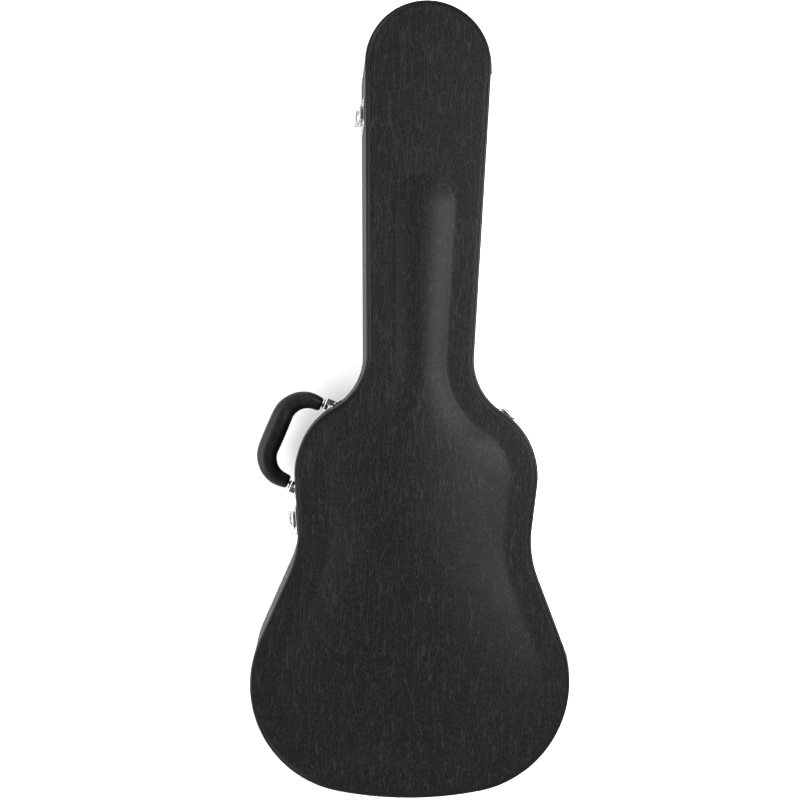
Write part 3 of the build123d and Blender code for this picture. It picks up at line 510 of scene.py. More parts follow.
def vinyl():
    """Embossed black-brown case vinyl: wavy lengthwise creases over a finer net, 3 to 5 mm apart."""
    n = Nodes("grained_case_vinyl")
    drawn = n.stretch(1.0, 0.36, 1.0)
    warp = n.noise(drawn, 7.0, 3.0)
    push = n.add("ShaderNodeCombineXYZ", {"X": n.span(warp, 0, 1, -0.0022, 0.0022)})
    shift = n.add(
        "ShaderNodeVectorMath", {0: drawn, 1: push.outputs["Vector"]}, operation="ADD"
    )
    cells = n.add(
        "ShaderNodeTexVoronoi",
        {"Vector": shift.outputs["Vector"], "Scale": 1 / (3.0 * MM), "Randomness": 1.0},
        feature="DISTANCE_TO_EDGE",
    ).outputs["Distance"]
    net = n.span(cells, 0.01, 0.12, 0.5, 0.0)
    waves = n.noise(n.stretch(1.0, 0.14, 1.0), 8.0, 2.0, 0.45, 0.3)
    away = n.add("ShaderNodeMath", {0: waves, 1: 0.5}, operation="SUBTRACT").outputs[0]
    near = n.add("ShaderNodeMath", {0: away}, operation="ABSOLUTE").outputs[0]
    long_crease = n.span(near, 0.0, 0.018, 1.0, 0.0)
    fine = n.noise(drawn, 1.1, 5.0, 0.7)
    net_highlight_patches = n.noise(n.place, 16.0, 4.0, 0.65)
    # The painted highlight shows on the fine net only in patches, and along the long creases everywhere.
    net_painted_highlight = n.add("ShaderNodeMath", {0: net, 1: n.span(net_highlight_patches, 0.25, 0.5)}, operation="MULTIPLY")
    crease_painted_highlight = n.add(
        "ShaderNodeMath", {0: net_painted_highlight.outputs[0], 1: long_crease}, operation="MAXIMUM"
    ).outputs[0]
    # Lighter colour in the creases: a painted highlight, as if light caught along them.
    tone = n.blend(crease_painted_highlight, rgb(BLACK_VINYL), rgb(VINYL_CREASE_PAINTED_HIGHLIGHT))
    both = n.add("ShaderNodeMath", {0: net, 1: long_crease}, operation="MAXIMUM").outputs[0]
    height = n.add("ShaderNodeMath", {0: both, 1: 0.8, 2: fine}, operation="MULTIPLY_ADD")
    n.look(
        Base_Color=tone,
        Roughness=n.span(fine, 0.3, 0.7, 0.40, 0.56),
        Normal=n.bump(height.outputs[0], 0.20, 0.5),
    )
    n.surface.inputs["Specular IOR Level"].default_value = 0.10
    return n.material


def binding_vinyl():
    """Smooth extruded vinyl binding with a faint draw grain."""
    n = Nodes("extruded_binding_vinyl")
    grain = n.noise(n.place, 1.6, 4.0, 0.6)
    n.look(
        Base_Color=n.blend(n.span(grain, 0.35, 0.7), rgb(BINDING_BLACK), rgb("#0E0D0D")),
        Roughness=n.span(grain, 0.2, 0.8, 0.30, 0.44),
        Normal=n.bump(grain, 0.05, 0.4),
    )
    n.surface.inputs["Specular IOR Level"].default_value = 0.12
    return n.material


def chrome():
    """Chrome-plated pressed steel: bright, with faint polish marks and a little dulling."""
    n = Nodes("chrome_plated_steel")
    marks = n.noise(n.stretch(1.0, 1.0, 0.12), 0.5, 3.0, 0.6)
    cloud = n.noise(n.place, 9.0, 3.0, 0.55)
    n.look(
        Base_Color=n.blend(n.span(cloud, 0.3, 0.75), rgb(CHROME), rgb("#8E9092")),
        Metallic=1.0,
        Roughness=n.span(cloud, 0.3, 0.8, 0.10, 0.24),
        Normal=n.bump(marks, 0.012, 0.35),
    )
    return n.material


def aluminium():
    """Extruded aluminium mouth strip, satin anodised, with a fine lengthwise draw."""
    n = Nodes("anodised_aluminium_strip")
    draw = n.noise(n.stretch(1.0, 1.0, 9.0), 1.4, 3.0, 0.5)
    n.look(
        Base_Color=n.blend(draw, rgb(ALUMINIUM), rgb("#8E8E90")),
        Metallic=1.0,
        Roughness=n.span(draw, 0.2, 0.8, 0.30, 0.42),
        Normal=n.bump(draw, 0.02, 0.3),
    )
    return n.material


def plush():
    """Short-pile black plush: patchy nap with a soft sheen."""
    n = Nodes("short_pile_plush")
    pile = n.noise(n.place, 0.8, 4.0, 0.75)
    nap = n.noise(n.place, 26.0, 4.0, 0.6, 0.6)
    colour = n.blend(n.span(nap, 0.35, 0.65), rgb(PLUSH), rgb("#2C2A30"))
    n.look(
        Base_Color=n.blend(n.span(pile, 0.3, 0.8, 0.0, 0.5), colour, rgb("#0E0D0F")),
        Roughness=0.95,
        Normal=n.bump(pile, 0.35, 0.8),
    )
    n.surface.inputs["Sheen Weight"].default_value = 0.55
    n.surface.inputs["Sheen Roughness"].default_value = 0.45
    n.surface.inputs["Sheen Tint"].default_value = rgb("#6A6672")
    return n.material


def grip_plastic():
    """Moulded soft-vinyl grip: satin black with a faint orange-peel skin."""
    n = Nodes("moulded_vinyl_grip")
    peel = n.noise(n.place, 2.2, 3.0, 0.5)
    wear = n.noise(n.place, 22.0, 4.0, 0.6)
    n.look(
        Base_Color=n.blend(n.span(wear, 0.35, 0.7), rgb(GRIP_BLACK), rgb("#151314")),
        Roughness=n.span(wear, 0.3, 0.7, 0.30, 0.42),
        Normal=n.bump(peel, 0.06, 0.35),
    )
    n.surface.inputs["Specular IOR Level"].default_value = 0.16
    return n.material


def ribbon():
    """Woven ribbon: fine cross threads."""
    n = Nodes("woven_ribbon")
    warp = n.add(
        "ShaderNodeTexWave",
        {"Vector": n.place, "Scale": 1 / (1.2 * MM) / 6.283, "Distortion": 0.6},
        bands_direction="X",
    ).outputs["Fac"]
    weft = n.add(
        "ShaderNodeTexWave",
        {"Vector": n.place, "Scale": 1 / (0.9 * MM) / 6.283, "Distortion": 0.6},
        bands_direction="Y",
    ).outputs["Fac"]
    weave = n.add("ShaderNodeMath", {0: warp, 1: weft}, operation="MULTIPLY").outputs[0]
    n.look(
        Base_Color=n.blend(weave, rgb(RIBBON), rgb("#34323A")),
        Roughness=0.7,
        Normal=n.bump(weave, 0.15, 0.8),
    )
    return n.material


def steel_wire():
    """Drawn steel wire pin with fine rings of draw marks."""
    n = Nodes("drawn_steel_wire")
    draw = n.noise(n.stretch(0.2, 3.0, 3.0), 0.6, 3.0)
    n.look(
        Base_Color=n.blend(draw, rgb("#9A9A9C"), rgb("#77787A")),
        Metallic=1.0,
        Roughness=n.span(draw, 0.2, 0.8, 0.25, 0.4),
        Normal=n.bump(draw, 0.01, 0.3),
    )
    return n.material


def studio_paper():
    """White seamless paper with a barely visible tooth."""
    n = Nodes("seamless_paper")
    tooth = n.noise(n.place, 3.0, 3.0)
    n.look(
        Base_Color=n.blend(tooth, rgb(PAPER), rgb("#FBFBFB")),
        Roughness=0.9,
        Normal=n.bump(tooth, 0.03, 0.1),
    )
    return n.material


VINYL = vinyl()
BINDING = binding_vinyl()
CHROMED = chrome()
STRIP = aluminium()
PLUSH_CLOTH = plush()
GRIP = grip_plastic()
RIBBON_CLOTH = ribbon()
WIRE = steel_wire()

# ================================================================ lid and base shells

BINDING_WIDTH = 4.5
BEAD = 1.0                 # half the width of the fine bead inside the binding
BEAD_SIDES = 10
GROOVE = 0.5
EDGE = 0.8                 # rounding of the shells' edges at the mouth
MOUTH_GAP = 0.2
BORDER_RINGS = 10
ARCH_RINGS = 26


def lid_height(x, y):
    """The lid's top surface."""
    return LID_TOP + arch(x, y)


def lid_shell():
    """The vinyl-covered lid: wall, flat border and arched top as one skin, hollow below."""
    foot = PARTING + MOUTH_GAP
    top = LID_TOP
    rings = [(WALL, foot + 1.0), (WALL - EDGE, foot), (EDGE, foot)]
    rings += [(0.25, foot + 0.25), (0, foot + EDGE)]
    rings += [(0, foot + (top - PANEL - foot) * i / 4) for i in range(1, 5)]
    rings += [(0.7, top - PANEL + 0.3), (1.2, top - PANEL + 1.0), (BINDING_WIDTH - 0.6, top - 1.4)]
    rings += [(BINDING_WIDTH + 0.1, top - 0.9), (BINDING_WIDTH + GROOVE, top - 0.25)]
    rings += [(BINDING_WIDTH + GROOVE + 0.5, top)]
    start = BINDING_WIDTH + GROOVE + 0.5
    for i in range(1, BORDER_RINGS + 1):
        inset = start + (BORDER - start) * i / BORDER_RINGS

        def border_ring(inset=inset):
            flat = RIM - OUTWARD * inset
            return np.column_stack([flat, lid_height(flat[:, 0], flat[:, 1])])

        rings.append(border_ring)
    for i in range(1, ARCH_RINGS + 1):
        rings.append(towards_spine(BORDER, i / ARCH_RINGS, lid_height))
    for i in range(ARCH_RINGS, -1, -4):
        share = i / ARCH_RINGS
        rings.append(towards_spine(BORDER, share, lambda x, y: lid_height(x, y) - PANEL))
    rings += [(WALL, top - PANEL), (WALL, foot + 20), (WALL, foot + 1.0)]
    return shell("lid_shell", rings)


def base_shell():
    """The vinyl-covered base: back panel and wall as one skin, open at the mouth."""
    mouth = PARTING - MOUTH_GAP
    rings = [(WALL, mouth - 1.0), (WALL - EDGE, mouth), (EDGE, mouth)]
    rings += [(0.25, mouth - 0.25), (0, mouth - EDGE)]
    rings += [(0, mouth + (PANEL - mouth) * i / 8) for i in range(1, 9)]
    rings += [(0.7, PANEL - 0.3), (1.2, PANEL - 1.0), (BINDING_WIDTH - 0.6, 1.4)]
    rings += [(BINDING_WIDTH + 0.1, 0.9), (BINDING_WIDTH + GROOVE, 0.15)]
    rings += [(BINDING_WIDTH + 1.0, 0.0), (BORDER, 0.0)]
    rings += [towards_spine(BORDER, i / 6, level_at(0.0)) for i in range(1, 7)]
    rings += [towards_spine(BORDER, i / 6, level_at(PANEL)) for i in range(6, -1, -1)]
    rings += [(WALL, PANEL), (WALL, mouth - 30), (WALL, mouth - 1.0)]
    return shell("base_shell", rings)


def edge_binding(name, level, up):
    """Rolled binding over an outer corner, with a fine bead along its inner edge.

    level is the height of the panel's face, and up is +1 on the lid or -1 under the base.
    """
    radius = 3.4
    profile = [(0.6, -PANEL + 0.5), (-0.15, -PANEL + 0.9), (-0.25, -PANEL + 1.4)]
    profile += corner(radius - 0.25, -radius + 0.1, radius, 10, 90, 9)
    profile += [(BINDING_WIDTH - 0.9, 0.05), (BINDING_WIDTH - 0.35, -0.25)]
    profile += [(BINDING_WIDTH, -0.7), (BINDING_WIDTH, -1.6), (2.0, -2.0), (1.0, -PANEL + 0.8)]
    return band(name, [(inset, level + up * height) for inset, height in profile])


def bead(name, level, up):
    """The fine piping that shows as a thin light line just inside the binding."""
    centre = BINDING_WIDTH + BEAD * 0.75
    profile = []
    for i in range(BEAD_SIDES):
        angle = 2 * math.pi * i / BEAD_SIDES
        height = level + up * (BEAD * 0.55 * math.sin(angle) - 0.15)
        profile.append((centre + BEAD * 0.8 * math.cos(angle), height))
    return band(name, profile)


finish_piece(
    lid_shell(), "lid", VINYL, ("lid_panel", "lid_rim"), 40
)
finish_piece(
    base_shell(), "base", VINYL, ("back_panel", "base_rim"), 40
)
finish_piece(
    edge_binding("lid_binding_roll", LID_TOP, 1), "lid", BINDING,
    ("lid_edge_binding",),
)
finish_piece(
    edge_binding("base_binding_roll", 0.35, -1), "base", BINDING,
    ("base_edge_binding",),
)
finish_piece(bead("lid_piping", LID_TOP, 1), "lid", BINDING)


def mouth_strip():
    """The metal strip that the lid closes over, with a rounded tongue."""
    inner, outer = 8.4, 6.2
    tip = PARTING + 7.0
    low = PARTING - 20.0
    profile = [(WALL, low + 0.6), (WALL, PARTING - 1.2), (WALL + 0.4, PARTING - 0.5)]
    profile += [(outer, PARTING - 0.4), (outer, tip - 1.2)]
    profile += corner((inner + outer) / 2, tip - 1.1, 1.1, 0, 180, 8)
    profile += [(inner, PARTING), (inner + 0.05, low + 1.0), (inner - 0.6, low), (WALL + 0.6, low)]
    return band("mouth_strip", profile)


finish_piece(mouth_strip(), "base", STRIP, ("mouth_lip",))

# ================================================================ padding

PAD_INSET = 8.7
SIDE_PAD = 11.0
FLOOR_TOP = 13.0


SETTLE_VOXEL = 6           # the pads are remeshed at this size before the cloth runs
SETTLE_FRAMES = 12


def settle(obj, cap_mm, pressure=4.0):
    """Swells a pad as cloth over foam, with its movement capped, and smooths it once."""
    apply(obj, "REMESH", mode="VOXEL", voxel_size=SETTLE_VOXEL * MM)
    start = read(obj)
    only(obj)
    cloth = obj.modifiers.new("Cloth", "CLOTH")
    cloth.settings.quality = 4
    cloth.settings.use_pressure = True
    cloth.settings.uniform_pressure_force = pressure
    cloth.settings.effector_weights.gravity = 0
    cloth.collision_settings.use_collision = False
    scene = bpy.context.scene
    for number in range(1, SETTLE_FRAMES + 1):
        scene.frame_set(number)
    bpy.ops.object.modifier_apply(modifier=cloth.name)
    scene.frame_set(1)
    moved = read(obj) - start
    length = np.maximum(np.linalg.norm(moved, axis=1, keepdims=True), 1e-9)
    place(obj, start + moved * np.minimum(1, cap_mm / length))
    apply(obj, "SUBSURF", levels=1, render_levels=1)


def floor_cushion():
    """The foam floor under the guitar, soft at its edges."""
    low, high = 5.3, FLOOR_TOP - 0.6
    rings = [towards_spine(20, 1.0, level_at(low)), (20, low), (6.6, low), (5.9, low + 1.0)]
    rings += [(5.9, high - 3), (7.0, high - 1.0), (10, high - 0.2), (20, high)]
    rings += [towards_spine(20, i / 8, level_at(high)) for i in range(1, 9)]
    return shell("floor_cushion", rings)


def pad_ring(name, outer, thick, low, high, belly):
    """A padded lining along a wall, fuller in its middle than at its edges."""
    rise = high - low
    profile = [(outer, low + 1.0), (outer, high - 1.0)]
    profile += [(outer + 1.0, high)]
    for i in range(0, 13):
        t = i / 12
        fat = (1 - belly) + belly * math.sin(math.pi * t) ** 0.5
        profile.append((outer + thick * fat, high - 0.4 - (rise - 0.8) * t))
    profile += [(outer + 1.0, low)]
    return band(name, profile)


side_cushion = pad_ring("side_cushion", PAD_INSET, SIDE_PAD, FLOOR_TOP + 0.5, PARTING - 3.2, 0.35)
finish_piece(
    side_cushion, "base", PLUSH_CLOTH, ("base_side_pad",), 60
)
lid_cushion = pad_ring("lid_side_cushion", 5.4, 8.0, 105.6, 124.3, 0.35)
finish_piece(
    lid_cushion, "lid", PLUSH_CLOTH, ("lid_side_pad",), 60
)
floor_pad = floor_cushion()
settle(floor_pad, 0.5)
finish_piece(floor_pad, "base", PLUSH_CLOTH, ("floor_pad",), 70)


def lid_liner():
    """The lid's plush liner, which follows the arch from below."""
    under = lambda x, y: lid_height(x, y) - PANEL - 0.4
    face = lambda x, y: lid_height(x, y) - PANEL - 7.6
    rings = [towards_spine(BORDER, i / 8, under) for i in range(8, -1, -1)]
    rings += [(6.0, LID_TOP - PANEL - 0.4), (5.5, LID_TOP - PANEL - 1.2)]
    rings += [(5.5, LID_TOP - PANEL - 6.2), (6.6, LID_TOP - PANEL - 7.4)]
    rings += [(14, LID_TOP - PANEL - 7.6)]
    rings += [towards_spine(BORDER, i / 14, face) for i in range(0, 15)]
    return shell("lid_liner", rings)


liner = lid_liner()
finish_piece(liner, "lid", PLUSH_CLOTH, ("lid_lining",), 70)


def soft_copy(name, node, inset_mm, cap_mm, pressure=3.0, voxel=4):
    """A stuffed shape from a CAD pad: a merged copy, drawn in a little and swollen as cloth."""
    source = nodes[node]
    only(source)
    source.hide_viewport = False
    bpy.ops.object.duplicate()
    obj = bpy.context.active_object
    obj.name = obj.data.name = name
    for key in list(obj.keys()):
        del obj[key]
    obj.parent = None
    obj.matrix_world = Matrix.Identity(4)
    weld(obj)
    apply(obj, "REMESH", mode="VOXEL", voxel_size=voxel * MM)
    points = read(obj)
    normals = np.zeros(len(obj.data.vertices) * 3)
    obj.data.vertices.foreach_get("normal", normals)
    place(obj, points - normals.reshape(-1, 3) * inset_mm)
    apply(obj, "SMOOTH", factor=0.5, iterations=3)
    settle(obj, cap_mm, pressure)
    return obj


for node in ("neck_cradle", "headstock_pad"):
    finish_piece(
        soft_copy(node + "_cushion", node, 1.2, 1.0), "base", PLUSH_CLOTH,
        (node,), 70,
    )

for node, body in (
    ("pocket_front_wall", "base"), ("pocket_rear_wall", "base"), ("pocket_lid", "pocket_flap")
):
    finish_piece(
        soft_copy(node + "_cover", node, 0.3, 0.2, 2.0, 1.5), body, PLUSH_CLOTH,
        (node,), 50,
    )


def pull_ribbon(thick=1.2):
    """The pocket flap's pull: a ribbon sewn down at its back that lifts a little at its free end."""
    corners = np.array([list(corner) for corner in nodes["pocket_pull_tab"].bound_box]) / MM
    low, high = corners.min(axis=0), corners.max(axis=0)
    obj, u, v = lattice("pull_ribbon", 10, 14)
    across, along = u / 10, v / 14
    ends = 1 - 0.3 * np.maximum(0, 1 - np.minimum(along, 1 - along) / 0.14) ** 2
    x = (low[0] + high[0]) / 2 + (across - 0.5) * (high[0] - low[0]) * ends
    y = low[1] + (high[1] - low[1]) * along
    z = low[2] + thick / 2 + 0.15 + 0.25 * (1 + np.sin(along * 9.0)) * (1 - along)
    place(obj, np.column_stack([x, y, z]))
    apply(obj, "SOLIDIFY", thickness=thick * MM, offset=0)
    weld(obj)
    apply(obj, "BEVEL", width=0.2 * MM, segments=2, limit_method="ANGLE", angle_limit=0.7)
    return obj


finish_piece(
    pull_ribbon(), "pocket_flap", RIBBON_CLOTH, ("pocket_pull_tab",), 40
)

# ================================================================ hardware

SHEET = 1.6
RIVET_HEAD_RADIUS = 2.6
RIVET_HEAD_HEIGHT = 1.3


def wall_place(point, angle, level):
    """Origin and axes of a frame on the wall: along it, out of it, up."""
    out = direction(angle)
    return (
        np.array([point[0], point[1], level]),
        np.array([out[1], -out[0], 0.0]),
        np.array([out[0], out[1], 0.0]),
    )


def to_wall(obj, spot, curve=None):
    """Moves a mesh from a local frame onto the wall; curve is the wall's radius, or None if flat."""
    origin, along, out = spot
    local = read(obj)
    if curve:
        local[:, 1] -= curve - np.sqrt(np.maximum(curve**2 - local[:, 0] ** 2, 0))
    world = origin + local[:, :1] * along + local[:, 1:2] * out + local[:, 2:] * np.array([0, 0, 1.0])
    place(obj, world)
    return obj


def pressed_plate(name, width, bottom, top, radius, thick=SHEET):
    """A pressed plate with rounded corners and edges, in the XZ plane with its face to +Y."""
    bpy.ops.object.select_all(action="DESELECT")
    middle = (bottom + top) / 2
    bpy.ops.mesh.primitive_cube_add(size=1, location=(0, thick / 2 * MM, middle * MM))
    obj = bpy.context.active_object
    obj.name = obj.data.name = name
    obj.scale = (width * MM, thick * MM, (top - bottom) * MM)
    bpy.ops.object.transform_apply(location=True, rotation=True, scale=True)
    corners = read(obj)

    def across(edge):
        step = np.abs(corners[edge.vertices[0]] - corners[edge.vertices[1]])
        return step[0] < 0.001 and step[2] < 0.001

    pick(obj, "EDGE", across)
    bpy.ops.mesh.bevel(offset=radius * MM, segments=6, affect="EDGES")
    bpy.ops.mesh.select_mode(type="VERT")
    for i in range(1, 12):
        bpy.ops.mesh.select_all(action="SELECT")
        cut = (-width / 2 + width * i / 12) * MM
        bpy.ops.mesh.bisect(plane_co=(cut, 0, 0), plane_no=(1, 0, 0))
    bpy.ops.object.mode_set(mode="OBJECT")
    apply(obj, "BEVEL", width=0.35 * MM, segments=2, limit_method="ANGLE", angle_limit=0.7)
    return obj


def dome(name, radius, height, seat):
    """A round rivet head that faces +Y, with a small flat on its crown."""
    rings = [(radius, 0.0), (radius, 0.2), (radius * 0.94, height * 0.45)]
    rings += [(radius * 0.78, height * 0.75), (radius * 0.5, height * 0.93)]
    rings += [(radius * 0.2, height), (0.0, height)]
    obj, u, v = lattice(name, 20, len(rings) - 1)
    table = np.array(rings)
    turn = 2 * np.pi * (u % 20) / 20
    size, out = table[v, 0], table[v, 1]
    place(obj, np.column_stack([size * np.cos(turn), seat + out, size * np.sin(turn)]))
    edit_fill(obj)
    weld(obj)
    return obj


def moved(obj, x=0.0, y=0.0, z=0.0):
    """Shifts a mesh in its local frame."""
    place(obj, read(obj) + np.array([x, y, z]))
    return obj


def copied(obj, name):
    """A copy with its own mesh."""
    twin = obj.copy()
    twin.data = obj.data.copy()
    twin.name = twin.data.name = name
    bpy.context.scene.collection.objects.link(twin)
    return twin


def joined(name, pieces):
    """Several meshes as one piece."""
    bpy.ops.object.select_all(action="DESELECT")
    for piece in pieces:
        piece.select_set(True)
    bpy.context.view_layer.objects.active = pieces[0]
    bpy.ops.object.join()
    obj = bpy.context.active_object
    obj.name = obj.data.name = name
    return obj


def drop(obj):
    """Removes a pattern that has been copied to its places."""
    bpy.data.objects.remove(obj)


# ---- Latch sizes, as in the CAD part
PLATE_WIDTH = 38.0
PLATE_TOP = -3.0
PLATE_FOOT = -46.0
PLATE_CORNER = 4.0
PANEL_WIDTH = 22.0         # the plate's raised middle, between its rivets
PIVOT_OUT = 5.6
PIVOT_DROP = 12.0
CRANK = 8.0
OVER_CENTRE = 5.0
HASP_OUT = PIVOT_OUT - CRANK * math.sin(math.radians(OVER_CENTRE))
HASP_DROP = PIVOT_DROP + CRANK * math.cos(math.radians(OVER_CENTRE))
PIN_RADIUS = 1.2
EAR_INNER = 6.2
EAR_OUTER = EAR_INNER + SHEET
CHEEK_INNER = EAR_OUTER + 0.3
CHEEK_OUTER = CHEEK_INNER + SHEET
LEG_INNER = CHEEK_OUTER + 0.3
LEG_OUTER = LEG_INNER + 2.0
LEVER_LENGTH = 30.0
STRIKE_FOOT = 3.0
STRIKE_TOP = 21.0
LEDGE_TOP = 8.7
BAR_FOOT = LEDGE_TOP + 0.3
BAR_TOP = BAR_FOOT + 4.5
NECK_LATCH_FROM_TAIL = 958.0
WAIST_LATCH_FROM_TAIL = 381.0


def tube(name, start, end, radius, ends=0.25, count=20):
    """A round pin with chamfered ends, between two points in a local frame."""
    start, end = np.array(start, float), np.array(end, float)
    axis = (end - start) / np.linalg.norm(end - start)
    side = np.cross(axis, [0.0, 0.0, 1.0] if abs(axis[2]) < 0.9 else [1.0, 0.0, 0.0])
    side /= np.linalg.norm(side)
    up = np.cross(axis, side)
    places = [(0, radius - ends), (ends, radius)]
    length = np.linalg.norm(end - start)
    places += [(length - ends, radius), (length, radius - ends)]
    sizes = [size for _, size in places]
    path = [(start + axis * at, side, up) for at, _ in places]
    step = len(places) - 1

    def section(share):
        return oval(2 * sizes[round(share * step)], 2 * sizes[round(share * step)], count, 2.0)

    return sweep(name, path, section)


def ear(side):
    """An ear that holds the lever's pin: a flat tongue with a round end."""
    inner, outer = sorted((side * EAR_INNER, side * EAR_OUTER))
    profile = [(0.6, -PIVOT_DROP - 3.2)]
    for i in range(13):
        angle = math.radians(-90 + 180 * i / 12)
        profile.append((PIVOT_OUT + 3.2 * math.cos(angle), -PIVOT_DROP + 3.2 * math.sin(angle)))
    profile += [(0.6, -PIVOT_DROP + 3.2)]
    return flat_piece("ear", profile, inner, outer)


def flat_piece(name, profile, low, high, bevel=0.25):
    """A flat piece cut to a profile in the YZ plane, from low to high along X."""
    bpy.ops.object.select_all(action="DESELECT")
    count = len(profile)
    bpy.ops.mesh.primitive_circle_add(vertices=count, radius=1, fill_type="NGON")
    obj = bpy.context.active_object
    obj.name = obj.data.name = name
    place(obj, [(low, y, z) for y, z in profile])
    edit(
        obj,
        lambda: bpy.ops.mesh.extrude_region_move(
            TRANSFORM_OT_translate={"value": ((high - low) * MM, 0, 0)}
        ),
        lambda: bpy.ops.mesh.select_all(action="SELECT"),
        lambda: bpy.ops.mesh.normals_make_consistent(inside=False),
    )
    apply(obj, "BEVEL", width=bevel * MM, segments=2, limit_method="ANGLE", angle_limit=0.7)
    return obj


def lever_shape():
    """The pressed lever: a channel with a crowned face that ends in a curled finger tip."""
    half = (CHEEK_INNER + CHEEK_OUTER) / 2
    web = PIVOT_OUT + 3.6 + SHEET / 2
    inner = PIVOT_OUT - 3.0
    top = -PIVOT_DROP - 4.5
    foot = -PIVOT_DROP - LEVER_LENGTH
    rows = 22
    across = 20
    obj, u, v = lattice("lever", across, rows)
    down = v / rows
    s = 2 * u / across - 1
    bend = 0.72
    flat = np.clip(s / bend, -1, 1)
    side = np.clip((np.abs(s) - bend) / (1 - bend), 0, 1)
    z = top + (foot - top) * down
    curl = ease((down - 0.80) / 0.2)
    narrow = 1 - curl * (1 - 8.0 / half)
    x = flat * half * narrow
    crowned = 0.5 * (1 - flat**2)
    depth = (web - inner) * (1 - 0.92 * curl)
    y = web + crowned - side * depth + curl * 3.2
    rib = 0.55 * np.exp(-((x / 3.2) ** 2)) * ease((down - 0.12) / 0.15)
    rib *= 1 - ease((down - 0.6) / 0.15)
    y += rib
    place(obj, np.column_stack([x, y, z]))
    apply(obj, "SOLIDIFY", thickness=(SHEET - 0.2) * MM, offset=0)
    weld(obj)
    apply(obj, "SUBSURF", levels=1, render_levels=1)
    return obj


def cheek(side):
    """A cheek of the lever, round about its pin."""
    inner, outer = sorted((side * CHEEK_INNER, side * CHEEK_OUTER))
    profile = [(PIVOT_OUT - 3.0, -PIVOT_DROP - 9.0), (PIVOT_OUT - 3.0, -PIVOT_DROP)]
    for i in range(1, 13):
        angle = math.radians(180 - 180 * i / 12)
        profile.append((PIVOT_OUT + 3.0 * math.cos(angle), -PIVOT_DROP + 3.0 * math.sin(angle)))
    profile += [(PIVOT_OUT + 3.0, -PIVOT_DROP - 5.0), (PIVOT_OUT + 3.4, -PIVOT_DROP - 9.0)]
    return flat_piece("cheek", profile, inner, outer)


def hasp_shape():
    """The bail: a flat-wire frame with rounded corners, and stubs in the lever's cheeks."""
    centre = (LEG_INNER + LEG_OUTER) / 2
    bend = 2.6
    path = []
    up_axis = np.array([0, 1.0, 0])
    top = (BAR_FOOT + BAR_TOP) / 2
    points = [(-centre, -HASP_DROP)]
    points += [(-centre, -HASP_DROP + (top - bend + HASP_DROP) * i / 6) for i in range(1, 7)]
    for i in range(1, 9):
        angle = math.radians(180 - 90 * i / 8)
        x = -centre + bend + bend * math.cos(angle)
        points.append((x, top - bend + bend * math.sin(angle)))
    right = [(-x, z) for x, z in reversed(points)]
    points += right
    points = np.array(points)
    ahead = np.gradient(points, axis=0)
    for (x, z), (dx, dz) in zip(points, ahead):
        size = math.hypot(dx, dz)
        side = np.array([dz / size, 0, -dx / size])
        path.append((np.array([x, HASP_OUT, z]), side, up_axis))

    def section(share):
        middle = 1 - abs(2 * share - 1)
        wide = 2.0 + (BAR_TOP - BAR_FOOT - 2.0) * ease((middle - 0.62) / 0.2)
        return oval(wide, 1.6, 16, 3.2)

    bar = sweep("hasp", path, section)
    pieces = [bar]
    for side in (-1, 1):
        pieces.append(
            tube("stub", (side * CHEEK_INNER, HASP_OUT, -HASP_DROP),
                 (side * (LEG_OUTER + 0.6), HASP_OUT, -HASP_DROP), PIN_RADIUS)
        )
        pieces.append(
            tube("eye", (side * LEG_INNER, HASP_OUT, -HASP_DROP),
                 (side * LEG_OUTER, HASP_OUT, -HASP_DROP), 2.4)
        )
    return joined("hasp", pieces)


def strike_shape():
    """The lid's plate with the ledge that the hasp pulls down on."""
    plate = pressed_plate("strike", PLATE_WIDTH, STRIKE_FOOT, STRIKE_TOP, PLATE_CORNER)
    half = LEG_INNER - 0.9
    profile = [(0.7, LEDGE_TOP - 0.3), (6.4, LEDGE_TOP - 0.05), (6.9, LEDGE_TOP - 0.3)]
    profile += [(7.0, LEDGE_TOP - 1.6), (6.5, LEDGE_TOP - 2.0), (0.7, LEDGE_TOP - 2.3)]
    return plate, flat_piece("ledge", profile, -half, half)


def bulge_spot(centre, radius, angle, side):
    """A place on a round stretch of the outline, on the right (+1) or left (-1) side."""
    point = centre + direction(angle) * radius
    return np.array([side * point[0], point[1]]), angle if side > 0 else 180 - angle


def neck_spot(height):
    """A place on the left side of the neck."""
    share = (height - HALF - neck_point[1]) / direction(neck_line)[1]
    point = neck_point + direction(neck_line) * share
    return point * flip, 180 - (neck_line - 90)


def waist_spot(height):
    """A place on the left side of the waist, moved out so that a flat plate bridges the hollow."""
    rise = lean(height - HALF - waist_centre[1], WAIST_RADIUS)
    bridge = WAIST_RADIUS - math.sqrt(WAIST_RADIUS**2 - (PLATE_WIDTH / 2) ** 2)
    point = waist_centre + direction(180 - rise) * (WAIST_RADIUS - bridge)
    return point * flip, 180 + rise


# Place, and the radius of the wall there.
LATCHES = {
    "neck": (*neck_spot(NECK_LATCH_FROM_TAIL), None),
    "waist": (*waist_spot(WAIST_LATCH_FROM_TAIL), None),
    "tail_left": (*bulge_spot(side_centre, SIDE_RADIUS, -46.0, -1), SIDE_RADIUS),
    "tail_right": (*bulge_spot(side_centre, SIDE_RADIUS, -52.0, 1), SIDE_RADIUS),
    "shoulder": (*bulge_spot(upper_centre, UPPER_BOUT_RADIUS, 52.0, 1), UPPER_BOUT_RADIUS),
}

